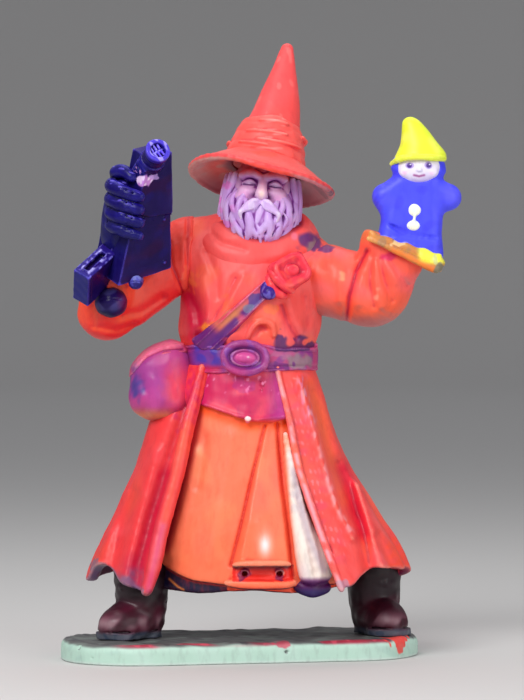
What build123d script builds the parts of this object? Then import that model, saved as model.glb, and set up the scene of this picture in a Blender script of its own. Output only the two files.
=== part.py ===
from build123d import *
import math
import os

# Ready-painted wizard miniature on a slab base.
# Each separately sculpted piece and each assembly pin is its own solid.
# Millimetres. +Z is up, the figure faces -Y and +X is on its left-hand side.
# The origin is the centre of the underside of the base.

os.makedirs("parts", exist_ok=True)

# ---------------------------------------------------------------- driving dimensions
base_length = 25.4
base_width = 10.8
base_thickness = 1.5
base_turn = 13.0
base_edge_radius = 0.5

waist_height = 20.0
belt_depth = 2.1
belt_thickness = 0.45

pin_diameter = 0.8
pin_depth = 1.1

boot_top = 6.2
boot_turn_right = -48.0
boot_turn_left = 25.0

hat_length = 10.25
brim_radius = 5.15
hat_tilt = (0.19, 0.22, 0.957)

# Closed cloth forms are elliptical rings: (height, centre x, centre y, half width, half depth).
robe_rings = (
    (4.9, 0.3, 0.3, 7.4, 4.5),
    (12.0, 0.5, 0.2, 5.6, 3.8),
    (waist_height, 0.75, 0.1, 4.1, 2.8),
)
coat_rings = (
    (5.2, 0.8, 0.4, 11.0, 6.2),
    (9.0, 0.55, 0.35, 9.5, 5.6),
    (14.5, 0.25, 0.3, 7.1, 4.6),
    (waist_height, 0.75, 0.1, 4.9, 3.5),
)
apron_rings = (
    (16.0, 0.65, 0.0, 5.2, 3.95),
    (waist_height, 0.75, 0.1, 4.5, 3.4),
)
torso_rings = (
    (waist_height, 0.75, 0.1, 4.1, 2.8),
    (23.2, 0.8, 0.1, 4.9, 3.0),
    (27.2, 0.9, 0.3, 5.2, 3.0),
    (30.0, 1.3, 0.4, 3.3, 2.3),
)
cowl_rings = (
    (27.2, 0.95, -0.2, 4.4, 3.6),
    (29.2, 1.1, -0.1, 4.0, 3.4),
    (30.8, 1.4, 0.0, 3.1, 2.8),
)

# The coat hangs open in front: half-open edges at the waist and at the hem.
coat_opening_top = (-2.9, 3.15)
coat_opening_hem = (-6.65, 7.0)

right_shoulder = (-3.2, 0.5, 28.1)
right_elbow = (-9.4, -1.4, 23.95)
right_wrist = (-8.2, -4.7, 29.3)
left_shoulder = (5.6, 0.4, 27.0)
left_elbow = (9.4, -0.2, 25.7)
left_wrist = (11.1, -1.2, 27.2)

head_centre = (1.5, -0.3, 32.3)
head_radius = 2.6
beard_centre = (1.5, -0.9, 31.25)
beard_radius = 2.75
beard_top = 32.4

gun_corner = (-8.26, -6.2, 25.9)
gun_along_face = (0.8095, 0.5869, 0.0153)
gun_upright = (0.2005, -0.3008, 0.9323)
muzzle_centre = (-5.45, -9.7, 35.05)
barrel_aim = (0.299, -0.858, 0.419)
barrel_radius = 0.84

puppet_depth = 2.2
puppet_centre_y = -1.9


# ---------------------------------------------------------------- shared shapes
def ring_loft(rings):
    """Loft the open BuildPart through level ellipses, bottom ring first."""
    sections = []
    for height, centre_x, centre_y, half_width, half_depth in rings:
        with BuildSketch(Plane.XY.offset(height)) as ring:
            with Locations((centre_x, centre_y)):
                Ellipse(half_width, half_depth)
        sections.append(ring.sketch)
    loft(sections=sections)


def limb(*stations):
    """Add a round limb through (point, radius) stations, with a ball at each one."""
    for point, radius in stations:
        with Locations(point):
            Sphere(radius)
    for (start, start_radius), (end, end_radius) in zip(stations, stations[1:]):
        run = Vector(*end) - Vector(*start)
        with Locations(Plane(origin=start, z_dir=run)):
            Cone(start_radius, end_radius, run.length, align=(Align.CENTER, Align.CENTER, Align.MIN))


def round_pin(start, end, diameter=pin_diameter):
    """Add a straight wire pin between two points."""
    run = Vector(*end) - Vector(*start)
    with Locations(Plane(origin=start, z_dir=run)):
        Cylinder(diameter / 2, run.length, align=(Align.CENTER, Align.CENTER, Align.MIN))


def shifted(point, direction, distance):
    """Return point moved along direction by distance."""
    return tuple(p + d * distance for p, d in zip(point, direction))


# ---------------------------------------------------------------- boots, pinned into the base
right_boot_heel = (-6.9, -0.9, base_thickness)
left_boot_heel = (9.5, 2.6, base_thickness)
boot_length = 5.4
boot_width = 3.3
boot_shaft_radius = 1.85
instep_height = 2.3


def boot(heel, turn):
    """Sole, foot and shaft of one boot, toe turned from straight ahead by turn degrees."""
    ground = Plane(origin=heel, x_dir=(math.cos(math.radians(turn)), math.sin(math.radians(turn)), 0))
    toe_shift = -boot_length / 2 + boot_shaft_radius
    with BuildSketch(ground) as sole:
        with Locations((0, toe_shift)):
            Ellipse(boot_width / 2, boot_length / 2)
    with BuildSketch(ground.offset(instep_height)) as instep:
        with Locations((0, -0.3)):
            Ellipse(boot_shaft_radius, boot_shaft_radius * 1.15)
    loft(sections=[sole.sketch, instep.sketch])
    shaft_start = ground.offset(instep_height * 0.5)
    with Locations(shaft_start):
        Cylinder(
            boot_shaft_radius,
            boot_top - base_thickness - instep_height * 0.5,
            align=(Align.CENTER, Align.CENTER, Align.MIN),
        )


with BuildPart() as boot_pins:
    for heel in (right_boot_heel, left_boot_heel):
        foot = (heel[0], heel[1], base_thickness - pin_depth)
        round_pin(foot, (heel[0], heel[1], base_thickness + 2 * pin_depth))
boot_pins.part.label = "boot_pins"
export_step(boot_pins.part, "parts/boot_pins.step")

with BuildPart() as boot_right:
    boot(right_boot_heel, boot_turn_right)
    add(boot_pins.part, mode=Mode.SUBTRACT)
boot_right.part.label = "boot_right"
export_step(boot_right.part, "parts/boot_right.step")

with BuildPart() as boot_left:
    boot(left_boot_heel, boot_turn_left)
    add(boot_pins.part, mode=Mode.SUBTRACT)
boot_left.part.label = "boot_left"
export_step(boot_left.part, "parts/boot_left.step")

# ---------------------------------------------------------------- base
with BuildPart() as base_slab:
    with BuildSketch():
        SlotOverall(base_length, base_width, rotation=base_turn)
    extrude(amount=base_thickness)
    fillet(base_slab.faces().sort_by(Axis.Z)[-1].edges(), base_edge_radius)
    add(boot_pins.part, mode=Mode.SUBTRACT)
base_slab.part.label = "base_slab"
export_step(base_slab.part, "parts/base_slab.step")

# ---------------------------------------------------------------- long robe under the coat
with BuildPart() as under_robe:
    ring_loft(robe_rings)
    add(boot_right.part, mode=Mode.SUBTRACT)
    add(boot_left.part, mode=Mode.SUBTRACT)
under_robe.part.label = "under_robe"
export_step(under_robe.part, "parts/under_robe.step")

# ---------------------------------------------------------------- waist apron
apron_lowest = 16.6
apron_sides = 18.2
with BuildPart() as waist_apron:
    ring_loft(apron_rings)
    with BuildSketch(Plane.XZ):
        with BuildLine():
            Line((coat_opening_top[0] + 0.05, waist_height), (coat_opening_top[1] - 0.05, waist_height))
            Line((coat_opening_top[1] - 0.05, waist_height), (3.6, apron_lowest + 0.25))
            ThreePointArc((3.6, apron_lowest + 0.25), (0.6, apron_lowest), (-3.2, apron_sides))
            Line((-3.2, apron_sides), (coat_opening_top[0] + 0.05, waist_height))
        make_face()
    extrude(amount=6.0, mode=Mode.INTERSECT)
    add(under_robe.part, mode=Mode.SUBTRACT)
waist_apron.part.label = "waist_apron"
export_step(waist_apron.part, "parts/waist_apron.step")

# ---------------------------------------------------------------- long coat, three skirt panels
coat_seam_turn = 48.0
with BuildPart() as coat_form:
    ring_loft(coat_rings)
    with BuildSketch(Plane.XZ):
        with BuildLine():
            Polyline(
                (coat_opening_top[0], waist_height + 1),
                (coat_opening_top[1], waist_height + 1),
                (coat_opening_top[1], waist_height),
                (coat_opening_hem[1], coat_rings[0][0] - 1),
                (coat_opening_hem[0], coat_rings[0][0] - 1),
                (coat_opening_top[0], waist_height),
                close=True,
            )
        make_face()
    extrude(amount=10.0, mode=Mode.SUBTRACT)
    add(under_robe.part, mode=Mode.SUBTRACT)
    add(boot_right.part, mode=Mode.SUBTRACT)
    add(boot_left.part, mode=Mode.SUBTRACT)

# The pleat of the pale underskirt shows between the robe and the left panel.
with BuildPart() as underskirt_pleat:
    with BuildSketch(Plane.XY.offset(5.6)) as pleat_foot:
        with Locations((4.8, -3.7)):
            Ellipse(1.25, 1.1)
    with BuildSketch(Plane.XY.offset(14.0)) as pleat_top:
        with Locations((3.5, -3.35)):
            Ellipse(0.35, 0.45)
    loft(sections=[pleat_foot.sketch, pleat_top.sketch])
    add(under_robe.part, mode=Mode.SUBTRACT)
    add(coat_form.part, mode=Mode.SUBTRACT)
underskirt_pleat.part.label = "underskirt_pleat"
export_step(underskirt_pleat.part, "parts/underskirt_pleat.step")


def seam_wedge(first_angle, last_angle):
    """Return the upright wedge between two headings from the coat's centre."""
    reach = 20.0
    hub = Vector(coat_rings[0][1], coat_rings[0][2])
    middle_angle = (first_angle + last_angle) / 2
    corners = [hub]
    for heading in (first_angle, middle_angle, last_angle):
        turn = math.radians(heading)
        corners.append(hub + Vector(math.cos(turn), math.sin(turn)) * reach)
    with BuildSketch() as wedge:
        with BuildLine():
            Polyline(*corners, close=True)
        make_face()
    return wedge.sketch


with BuildPart() as coat_panel_left:
    add(coat_form.part)
    extrude(seam_wedge(-90.0, coat_seam_turn), amount=waist_height + 1, mode=Mode.INTERSECT)
coat_panel_left.part.label = "coat_panel_left"
export_step(coat_panel_left.part, "parts/coat_panel_left.step")

with BuildPart() as coat_panel_right:
    add(coat_form.part)
    extrude(seam_wedge(180.0 - coat_seam_turn, 270.0), amount=waist_height + 1, mode=Mode.INTERSECT)
coat_panel_right.part.label = "coat_panel_right"
export_step(coat_panel_right.part, "parts/coat_panel_right.step")

with BuildPart() as coat_panel_back:
    add(coat_form.part)
    extrude(
        seam_wedge(coat_seam_turn, 180.0 - coat_seam_turn),
        amount=waist_height + 1,
        mode=Mode.INTERSECT,
    )
coat_panel_back.part.label = "coat_panel_back"
export_step(coat_panel_back.part, "parts/coat_panel_back.step")

# ---------------------------------------------------------------- upper body and its pins
neck_pin_foot = (1.3, 0.3, 28.0)
neck_pin_top = (1.45, 0.1, 32.6)
with BuildPart() as neck_pin:
    round_pin(neck_pin_foot, neck_pin_top)
neck_pin.part.label = "neck_pin"
export_step(neck_pin.part, "parts/neck_pin.step")

with BuildPart() as shoulder_pins:
    round_pin((-2.2, 0.5, 27.6), (-5.2, -0.05, 26.8))
    round_pin((4.2, 0.4, 27.2), (7.2, 0.2, 26.5))
shoulder_pins.part.label = "shoulder_pins"
export_step(shoulder_pins.part, "parts/shoulder_pins.step")

with BuildPart() as tunic_torso:
    ring_loft(torso_rings)
    add(neck_pin.part, mode=Mode.SUBTRACT)
    add(shoulder_pins.part, mode=Mode.SUBTRACT)
tunic_torso.part.label = "tunic_torso"
export_step(tunic_torso.part, "parts/tunic_torso.step")

with BuildPart() as head:
    with Locations(head_centre):
        Sphere(head_radius)
    limb((head_centre, 1.6), ((1.4, 0.2, 30.2), 1.5))
    add(tunic_torso.part, mode=Mode.SUBTRACT)
    add(neck_pin.part, mode=Mode.SUBTRACT)
head.part.label = "head"
export_step(head.part, "parts/head.step")

with BuildPart() as beard:
    with Locations(beard_centre):
        Sphere(beard_radius)
    with Locations((beard_centre[0], beard_centre[1], beard_top)):
        Box(8.0, 8.0, 4.0, align=(Align.CENTER, Align.CENTER, Align.MIN), mode=Mode.SUBTRACT)
    add(head.part, mode=Mode.SUBTRACT)
    add(tunic_torso.part, mode=Mode.SUBTRACT)
    add(neck_pin.part, mode=Mode.SUBTRACT)
beard.part.label = "beard"
export_step(beard.part, "parts/beard.step")

with BuildPart() as moustache:
    for side in (-1, 1):
        limb(((1.5 + 0.3 * side, -3.3, 32.0), 0.5), ((1.5 + 1.5 * side, -3.05, 31.2), 0.35))
    add(beard.part, mode=Mode.SUBTRACT)
    add(head.part, mode=Mode.SUBTRACT)
moustache.part.label = "moustache"
export_step(moustache.part, "parts/moustache.step")

with BuildPart() as cowl:
    ring_loft(cowl_rings)
    add(tunic_torso.part, mode=Mode.SUBTRACT)
    add(beard.part, mode=Mode.SUBTRACT)
    add(head.part, mode=Mode.SUBTRACT)
    add(neck_pin.part, mode=Mode.SUBTRACT)
    add(shoulder_pins.part, mode=Mode.SUBTRACT)
cowl.part.label = "cowl"
export_step(cowl.part, "parts/cowl.step")

# ---------------------------------------------------------------- hat, turned on its own axis
hat_rim_centre = (1.5, 0.0, 33.35)
hat_plane = Plane(origin=hat_rim_centre, x_dir=(1, 0, -0.2), z_dir=hat_tilt)
hat_front = Plane(origin=hat_rim_centre, x_dir=hat_plane.x_dir, z_dir=-hat_plane.y_dir)
crown_foot_radius = 2.75
crown_foot_height = 1.8
band_top_height = 4.1
band_top_radius = 2.0
tip_radius = 0.38

with BuildPart() as hat_brim:
    with BuildSketch(hat_front) as brim_profile:
        with BuildLine():
            Polyline(
                (2.35, 1.1),
                (3.7, 0.35),
                (brim_radius - 0.1, -0.3),
                (brim_radius, 0.0),
                (brim_radius - 0.25, 0.35),
                (3.7, 1.15),
                (crown_foot_radius, crown_foot_height),
                (2.35, crown_foot_height),
                close=True,
            )
        make_face()
    revolve(axis=Axis(hat_rim_centre, hat_tilt))
    add(head.part, mode=Mode.SUBTRACT)
hat_brim.part.label = "hat_brim"
export_step(hat_brim.part, "parts/hat_brim.step")

with BuildPart() as hat_crown:
    with BuildSketch(hat_front) as crown_profile:
        with BuildLine():
            Polyline(
                (0, 0.4),
                (2.35, 0.9),
                (2.35, crown_foot_height),
                (crown_foot_radius, crown_foot_height),
                (band_top_radius, band_top_height),
                (1.5, 6.1),
                (tip_radius, hat_length - 0.35),
                (0, hat_length),
                close=True,
            )
        make_face()
    revolve(axis=Axis(hat_rim_centre, hat_tilt))
    add(head.part, mode=Mode.SUBTRACT)
    add(hat_brim.part, mode=Mode.SUBTRACT)
hat_crown.part.label = "hat_crown"
export_step(hat_crown.part, "parts/hat_crown.step")

with BuildPart() as hat_band:
    with BuildSketch(hat_front) as band_profile:
        with BuildLine():
            Polyline(
                (2.2, crown_foot_height + 0.2),
                (crown_foot_radius + 0.15, crown_foot_height + 0.2),
                (crown_foot_radius, crown_foot_height + 1.2),
                (band_top_radius + 0.25, band_top_height),
                (1.6, band_top_height),
                close=True,
            )
        make_face()
    revolve(axis=Axis(hat_rim_centre, hat_tilt))
    add(hat_crown.part, mode=Mode.SUBTRACT)
hat_band.part.label = "hat_band"
export_step(hat_band.part, "parts/hat_band.step")

# ---------------------------------------------------------------- belt and buckle
with BuildPart() as belt:
    with BuildSketch(Plane.XY.offset(waist_height)):
        with Locations((0.75, 0.1)):
            Ellipse(4.35 + belt_thickness, 2.95 + belt_thickness)
    extrude(amount=belt_depth)
    add(tunic_torso.part, mode=Mode.SUBTRACT)
belt.part.label = "belt"
export_step(belt.part, "parts/belt.step")

buckle_centre = (0.35, 21.0)
buckle_width = 3.2
buckle_height = 2.5
buckle_front = 3.95
with BuildPart() as buckle_frame:
    with BuildSketch(Plane.XZ):
        with Locations(buckle_centre):
            Ellipse(buckle_width / 2, buckle_height / 2)
            Ellipse(buckle_width / 2 - 0.4, buckle_height / 2 - 0.35, mode=Mode.SUBTRACT)
    extrude(amount=buckle_front)
    add(tunic_torso.part, mode=Mode.SUBTRACT)
    add(belt.part, mode=Mode.SUBTRACT)
    add(waist_apron.part, mode=Mode.SUBTRACT)
    add(under_robe.part, mode=Mode.SUBTRACT)
buckle_frame.part.label = "buckle_frame"
export_step(buckle_frame.part, "parts/buckle_frame.step")

with BuildPart() as buckle_boss:
    with BuildSketch(Plane.XZ.offset(buckle_front - 0.75)):
        with Locations(buckle_centre):
            Ellipse(buckle_width / 2 - 0.42, buckle_height / 2 - 0.37)
    extrude(amount=0.9)
    fillet(buckle_boss.faces().sort_by(Axis.Y)[0].edges(), 0.35)
    add(tunic_torso.part, mode=Mode.SUBTRACT)
    add(belt.part, mode=Mode.SUBTRACT)
    add(buckle_frame.part, mode=Mode.SUBTRACT)
buckle_boss.part.label = "buckle_boss"
export_step(buckle_boss.part, "parts/buckle_boss.step")

# ---------------------------------------------------------------- cross strap with badge and bead
strap_low = (-1.9, 22.3)
strap_high = (4.4, 28.2)
strap_width = 1.15
strap_angle = math.degrees(math.atan2(strap_high[1] - strap_low[1], strap_high[0] - strap_low[0]))
strap_middle = ((strap_low[0] + strap_high[0]) / 2, (strap_low[1] + strap_high[1]) / 2)
strap_run = math.dist(strap_low, strap_high)
strap_rings = tuple((h, cx, cy, hw + 0.4, hd + 0.4) for h, cx, cy, hw, hd in torso_rings)
with BuildPart() as shoulder_strap:
    ring_loft(strap_rings)
    with BuildSketch(Plane.XZ):
        with Locations(strap_middle):
            Rectangle(strap_run, strap_width, rotation=strap_angle)
    extrude(amount=6.0, mode=Mode.INTERSECT)
    for neighbour in (tunic_torso, cowl, belt, buckle_frame, beard):
        add(neighbour.part, mode=Mode.SUBTRACT)
    add(shoulder_strap.solids().sort_by(SortBy.VOLUME)[-1], mode=Mode.REPLACE)
shoulder_strap.part.label = "shoulder_strap"
export_step(shoulder_strap.part, "parts/shoulder_strap.step")

badge_centre = (3.75, 27.0)
with BuildPart() as strap_badge:
    with BuildSketch(Plane.XZ.offset(2.2)):
        with Locations(badge_centre):
            RectangleRounded(2.7, 2.4, 0.9, rotation=strap_angle)
    extrude(amount=1.7)
    for neighbour in (tunic_torso, cowl, shoulder_strap):
        add(neighbour.part, mode=Mode.SUBTRACT)
strap_badge.part.label = "strap_badge"
export_step(strap_badge.part, "parts/strap_badge.step")

with BuildPart() as badge_clasp:
    with BuildSketch(Plane.XZ.offset(2.6)):
        with Locations((2.75, 26.2)):
            RectangleRounded(0.7, 2.5, 0.3, rotation=strap_angle)
    extrude(amount=1.5)
    for neighbour in (tunic_torso, cowl, shoulder_strap, strap_badge):
        add(neighbour.part, mode=Mode.SUBTRACT)
badge_clasp.part.label = "badge_clasp"
export_step(badge_clasp.part, "parts/badge_clasp.step")

with BuildPart() as strap_bead:
    with Locations((1.9, -3.75, 25.35)):
        Sphere(0.5)
    for neighbour in (tunic_torso, cowl, shoulder_strap, strap_badge, badge_clasp):
        add(neighbour.part, mode=Mode.SUBTRACT)
strap_bead.part.label = "strap_bead"
export_step(strap_bead.part, "parts/strap_bead.step")

# ---------------------------------------------------------------- hip pouch
pouch_centre = (-5.6, -0.2, 18.9)
pouch_size = (3.9, 4.4, 4.6)
pouch_corner = 1.2
flap_size = (3.9, 4.8, 2.7)
flap_corner = 1.1
flap_lift = 1.9
with BuildPart() as pouch_body:
    with Locations(pouch_centre):
        Box(*pouch_size)
    fillet(pouch_body.edges(), pouch_corner)
    for neighbour in (coat_panel_right, tunic_torso, belt, under_robe):
        add(neighbour.part, mode=Mode.SUBTRACT)
pouch_body.part.label = "pouch_body"
export_step(pouch_body.part, "parts/pouch_body.step")

with BuildPart() as pouch_flap:
    with Locations((pouch_centre[0] + 0.1, pouch_centre[1] - 0.1, pouch_centre[2] + flap_lift)):
        Box(*flap_size)
    fillet(pouch_flap.edges(), flap_corner)
    for neighbour in (pouch_body, coat_panel_right, tunic_torso, belt, under_robe):
        add(neighbour.part, mode=Mode.SUBTRACT)
pouch_flap.part.label = "pouch_flap"
export_step(pouch_flap.part, "parts/pouch_flap.step")

# ---------------------------------------------------------------- pistol, built on its own plane
# Local x runs along the wide flat face, y goes in through the gun and z is up the frame.
gun_plane = Plane(origin=gun_corner, x_dir=gun_along_face, z_dir=gun_upright)
gun_face = Plane(origin=gun_corner, x_dir=gun_plane.x_dir, z_dir=-gun_plane.y_dir)
body_thickness = 1.7
block_thickness = 1.25
muzzle_length = 1.3
slide_length = 4.4
slide_radius = 0.95
muzzle_recess = 0.35
muzzle_wall = 0.22
grille_bar = (0.9, 0.14, 0.14)
grille_pitch = 0.38
gun_face_outline = ((0, 0), (4.1, 1.3), (1.9, 9.7), (0.2, 9.3))
block_outline = ((0, 0.4), (3.2, 1.4), (3.0, 2.9), (0, 2.9))
end_ball_centre = (-8.8, -4.1, 24.8)
end_ball_radius = 1.05
knob_centre = (-7.1, -5.4, 26.1)
knob_radius = 0.5

barrel_root = shifted(muzzle_centre, barrel_aim, -muzzle_length)
slide_rear = shifted(muzzle_centre, barrel_aim, -slide_length)
muzzle_floor = shifted(muzzle_centre, barrel_aim, -muzzle_recess)

with BuildPart() as gun_barrel:
    with Locations(Plane(origin=barrel_root, z_dir=barrel_aim)):
        Cylinder(barrel_radius, muzzle_length, align=(Align.CENTER, Align.CENTER, Align.MIN))
    with Locations(Plane(origin=muzzle_floor, z_dir=barrel_aim)):
        Cylinder(
            barrel_radius - muzzle_wall,
            muzzle_length,
            align=(Align.CENTER, Align.CENTER, Align.MIN),
            mode=Mode.SUBTRACT,
        )
gun_barrel.part.label = "gun_barrel"
export_step(gun_barrel.part, "parts/gun_barrel.step")

with BuildPart() as muzzle_grille:
    grille_plane = Plane(origin=muzzle_floor, x_dir=(0.8, 0.38, 0.46), z_dir=barrel_aim)
    with Locations(grille_plane):
        with GridLocations(0, grille_pitch, 1, 3):
            Box(*grille_bar, align=(Align.CENTER, Align.CENTER, Align.MIN))
muzzle_grille.part.label = "muzzle_grille"
export_step(muzzle_grille.part, "parts/muzzle_grille.step")

with BuildPart() as gun_slide:
    with Locations(Plane(origin=slide_rear, z_dir=barrel_aim)):
        Cylinder(
            slide_radius,
            slide_length - muzzle_length,
            align=(Align.CENTER, Align.CENTER, Align.MIN),
        )
gun_slide.part.label = "gun_slide"
export_step(gun_slide.part, "parts/gun_slide.step")

with BuildPart() as gun_body:
    with BuildSketch(gun_face):
        with BuildLine():
            Polyline(*gun_face_outline, close=True)
        make_face()
    extrude(amount=-body_thickness)
    add(gun_barrel.part, mode=Mode.SUBTRACT)
    add(gun_slide.part, mode=Mode.SUBTRACT)
    add(gun_body.solids().sort_by(SortBy.VOLUME)[-1], mode=Mode.REPLACE)
gun_body.part.label = "gun_body"
export_step(gun_body.part, "parts/gun_body.step")

with BuildPart() as gun_block:
    with BuildSketch(gun_face.offset(-body_thickness)):
        with BuildLine():
            Polyline(*block_outline, close=True)
        make_face()
    extrude(amount=-block_thickness)
gun_block.part.label = "gun_block"
export_step(gun_block.part, "parts/gun_block.step")

magazine_plane = Plane(origin=(-9.9, -5.1, 26.9), x_dir=(0.58, 0.58, 0.57), z_dir=(0.063, -0.732, 0.678))
magazine_size = (3.9, 1.28, 2.8)
magazine_slot = (1.9, 0.4, 0.6)
with BuildPart() as gun_magazine:
    with Locations(magazine_plane):
        Box(*magazine_size)
    with Locations(magazine_plane * Pos(-0.5, 0, magazine_size[2] / 2)):
        Box(*magazine_slot, mode=Mode.SUBTRACT)
    for neighbour in (gun_body, gun_block):
        add(neighbour.part, mode=Mode.SUBTRACT)
    add(gun_magazine.solids().sort_by(SortBy.VOLUME)[-1], mode=Mode.REPLACE)
gun_magazine.part.label = "gun_magazine"
export_step(gun_magazine.part, "parts/gun_magazine.step")

with BuildPart() as gun_end_ball:
    with Locations(end_ball_centre):
        Sphere(end_ball_radius)
    for neighbour in (gun_body, gun_block, gun_magazine):
        add(neighbour.part, mode=Mode.SUBTRACT)
gun_end_ball.part.label = "gun_end_ball"
export_step(gun_end_ball.part, "parts/gun_end_ball.step")

with BuildPart() as gun_knob:
    with Locations(knob_centre):
        Sphere(knob_radius)
    add(gun_body.part, mode=Mode.SUBTRACT)
gun_knob.part.label = "gun_knob"
export_step(gun_knob.part, "parts/gun_knob.step")

# ---------------------------------------------------------------- gloved fist and right sleeve
finger_radius = 0.5
finger_pitch = 0.92
first_knuckle = (-8.55, -6.5, 32.85)
first_fingertip = (-6.9, -8.3, 32.2)
hand_heel = (-8.3, -5.5, 30.2)
hand_top = (-7.9, -6.3, 31.8)
gun_parts = (gun_barrel, gun_slide, gun_body, gun_block, gun_magazine, gun_end_ball, gun_knob)

with BuildPart() as wrist_pins:
    round_pin((-8.25, -4.3, 28.2), (-8.25, -5.2, 30.3))
    round_pin((11.0, -1.2, 26.6), (12.0, -1.75, 29.6))
    for neighbour in gun_parts:
        add(neighbour.part, mode=Mode.SUBTRACT)
wrist_pins.part.label = "wrist_pins"
export_step(wrist_pins.part, "parts/wrist_pins.step")

with BuildPart() as gun_fist:
    limb((right_wrist, 1.0), (hand_heel, 0.95), (hand_top, 1.1))
    for finger in range(4):
        knuckle = shifted(first_knuckle, gun_upright, -finger * finger_pitch)
        fingertip = shifted(first_fingertip, gun_upright, -finger * finger_pitch)
        limb((knuckle, finger_radius), (fingertip, finger_radius * 0.92))
    for neighbour in gun_parts + (wrist_pins,):
        add(neighbour.part, mode=Mode.SUBTRACT)
    add(gun_fist.solids().sort_by(SortBy.VOLUME)[-1], mode=Mode.REPLACE)
gun_fist.part.label = "gun_fist"
export_step(gun_fist.part, "parts/gun_fist.step")

with BuildPart() as right_sleeve:
    limb((right_shoulder, 2.1), ((-4.8, 0.2, 27.3), 1.9), (right_elbow, 1.65), (right_wrist, 1.05))
    for neighbour in gun_parts + (gun_fist, wrist_pins, shoulder_pins, tunic_torso, cowl):
        add(neighbour.part, mode=Mode.SUBTRACT)
    add(right_sleeve.solids().sort_by(SortBy.VOLUME)[-1], mode=Mode.REPLACE)
right_sleeve.part.label = "right_sleeve"
export_step(right_sleeve.part, "parts/right_sleeve.step")

# ---------------------------------------------------------------- glove puppet
puppet_outline = (
    (9.1, 33.0), (9.4, 33.9), (10.6, 34.2), (11.0, 34.7), (13.6, 34.7), (14.0, 34.1),
    (15.2, 33.7), (15.4, 32.6), (14.0, 31.6), (13.9, 28.6), (12.0, 28.4), (9.7, 29.4), (10.0, 31.2),
)
with BuildPart() as puppet_body:
    with BuildSketch(Plane.XZ.offset(-puppet_centre_y - puppet_depth / 2)):
        with BuildLine():
            Polyline(*puppet_outline, close=True)
        make_face()
        fillet(vertices(), 0.3)
    extrude(amount=puppet_depth)
    add(wrist_pins.part, mode=Mode.SUBTRACT)
puppet_body.part.label = "puppet_body"
export_step(puppet_body.part, "parts/puppet_body.step")

puppet_head_centre = (12.25, puppet_centre_y, 34.3)
with BuildPart() as puppet_head:
    with Locations(puppet_head_centre):
        Sphere(1.5)
    add(puppet_body.part, mode=Mode.SUBTRACT)
puppet_head.part.label = "puppet_head"
export_step(puppet_head.part, "parts/puppet_head.step")

cap_foot = (12.35, puppet_centre_y, 34.6)
cap_tip = (11.65, puppet_centre_y, 37.1)
cap_foot_radius = 1.85
cap_tip_radius = 0.5
with BuildPart() as puppet_cap:
    cap_run = Vector(*cap_tip) - Vector(*cap_foot)
    with Locations(Plane(origin=cap_foot, z_dir=cap_run)):
        Cone(cap_foot_radius, cap_tip_radius, cap_run.length, align=(Align.CENTER, Align.CENTER, Align.MIN))
    with Locations(cap_tip):
        Sphere(cap_tip_radius)
    add(puppet_head.part, mode=Mode.SUBTRACT)
    add(puppet_body.part, mode=Mode.SUBTRACT)
    add(puppet_cap.solids().sort_by(SortBy.VOLUME)[-1], mode=Mode.REPLACE)
puppet_cap.part.label = "puppet_cap"
export_step(puppet_cap.part, "parts/puppet_cap.step")

puppet_front = puppet_centre_y - puppet_depth / 2
with BuildPart() as puppet_buttons:
    for button_centre, button_radius in (((12.1, 31.25), 0.42), ((12.0, 30.1), 0.38)):
        with BuildSketch(Plane.XZ.offset(-puppet_front)):
            with Locations(button_centre):
                Circle(button_radius)
        extrude(amount=0.2)
puppet_buttons.part.label = "puppet_buttons"
export_step(puppet_buttons.part, "parts/puppet_buttons.step")

hem_left = (8.95, 29.45)
hem_right = (13.9, 27.75)
hem_angle = math.degrees(math.atan2(hem_right[1] - hem_left[1], hem_right[0] - hem_left[0]))
with BuildPart() as puppet_hem:
    with BuildSketch(Plane.XZ.offset(-puppet_centre_y - puppet_depth / 2 - 0.15)):
        with Locations(((hem_left[0] + hem_right[0]) / 2, (hem_left[1] + hem_right[1]) / 2)):
            RectangleRounded(math.dist(hem_left, hem_right), 0.95, 0.4, rotation=hem_angle)
    extrude(amount=puppet_depth + 0.3)
    add(puppet_body.part, mode=Mode.SUBTRACT)
    add(wrist_pins.part, mode=Mode.SUBTRACT)
puppet_hem.part.label = "puppet_hem"
export_step(puppet_hem.part, "parts/puppet_hem.step")

# ---------------------------------------------------------------- left sleeve holding the puppet up
with BuildPart() as left_sleeve:
    limb(((4.6, 0.4, 27.3), 2.3), (left_shoulder, 2.25), (left_elbow, 2.35), (left_wrist, 1.5))
    for neighbour in (tunic_torso, cowl, shoulder_pins, wrist_pins, puppet_hem, puppet_body, strap_badge):
        add(neighbour.part, mode=Mode.SUBTRACT)
    add(left_sleeve.solids().sort_by(SortBy.VOLUME)[-1], mode=Mode.REPLACE)
left_sleeve.part.label = "left_sleeve"
export_step(left_sleeve.part, "parts/left_sleeve.step")
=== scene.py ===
import math

import bpy
import numpy as np
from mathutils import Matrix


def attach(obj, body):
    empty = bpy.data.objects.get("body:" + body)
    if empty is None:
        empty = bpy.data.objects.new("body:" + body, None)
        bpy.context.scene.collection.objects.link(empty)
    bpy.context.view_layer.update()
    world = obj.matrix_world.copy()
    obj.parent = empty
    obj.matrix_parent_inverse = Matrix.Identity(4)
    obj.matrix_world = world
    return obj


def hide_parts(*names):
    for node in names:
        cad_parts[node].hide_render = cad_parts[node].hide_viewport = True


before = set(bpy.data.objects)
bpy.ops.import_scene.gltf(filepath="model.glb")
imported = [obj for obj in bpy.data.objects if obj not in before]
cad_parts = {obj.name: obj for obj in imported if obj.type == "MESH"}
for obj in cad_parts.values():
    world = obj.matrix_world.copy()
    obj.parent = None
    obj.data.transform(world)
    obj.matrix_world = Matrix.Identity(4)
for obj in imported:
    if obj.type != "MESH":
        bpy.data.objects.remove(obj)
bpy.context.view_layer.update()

import openvdb
from mathutils import Vector

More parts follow.
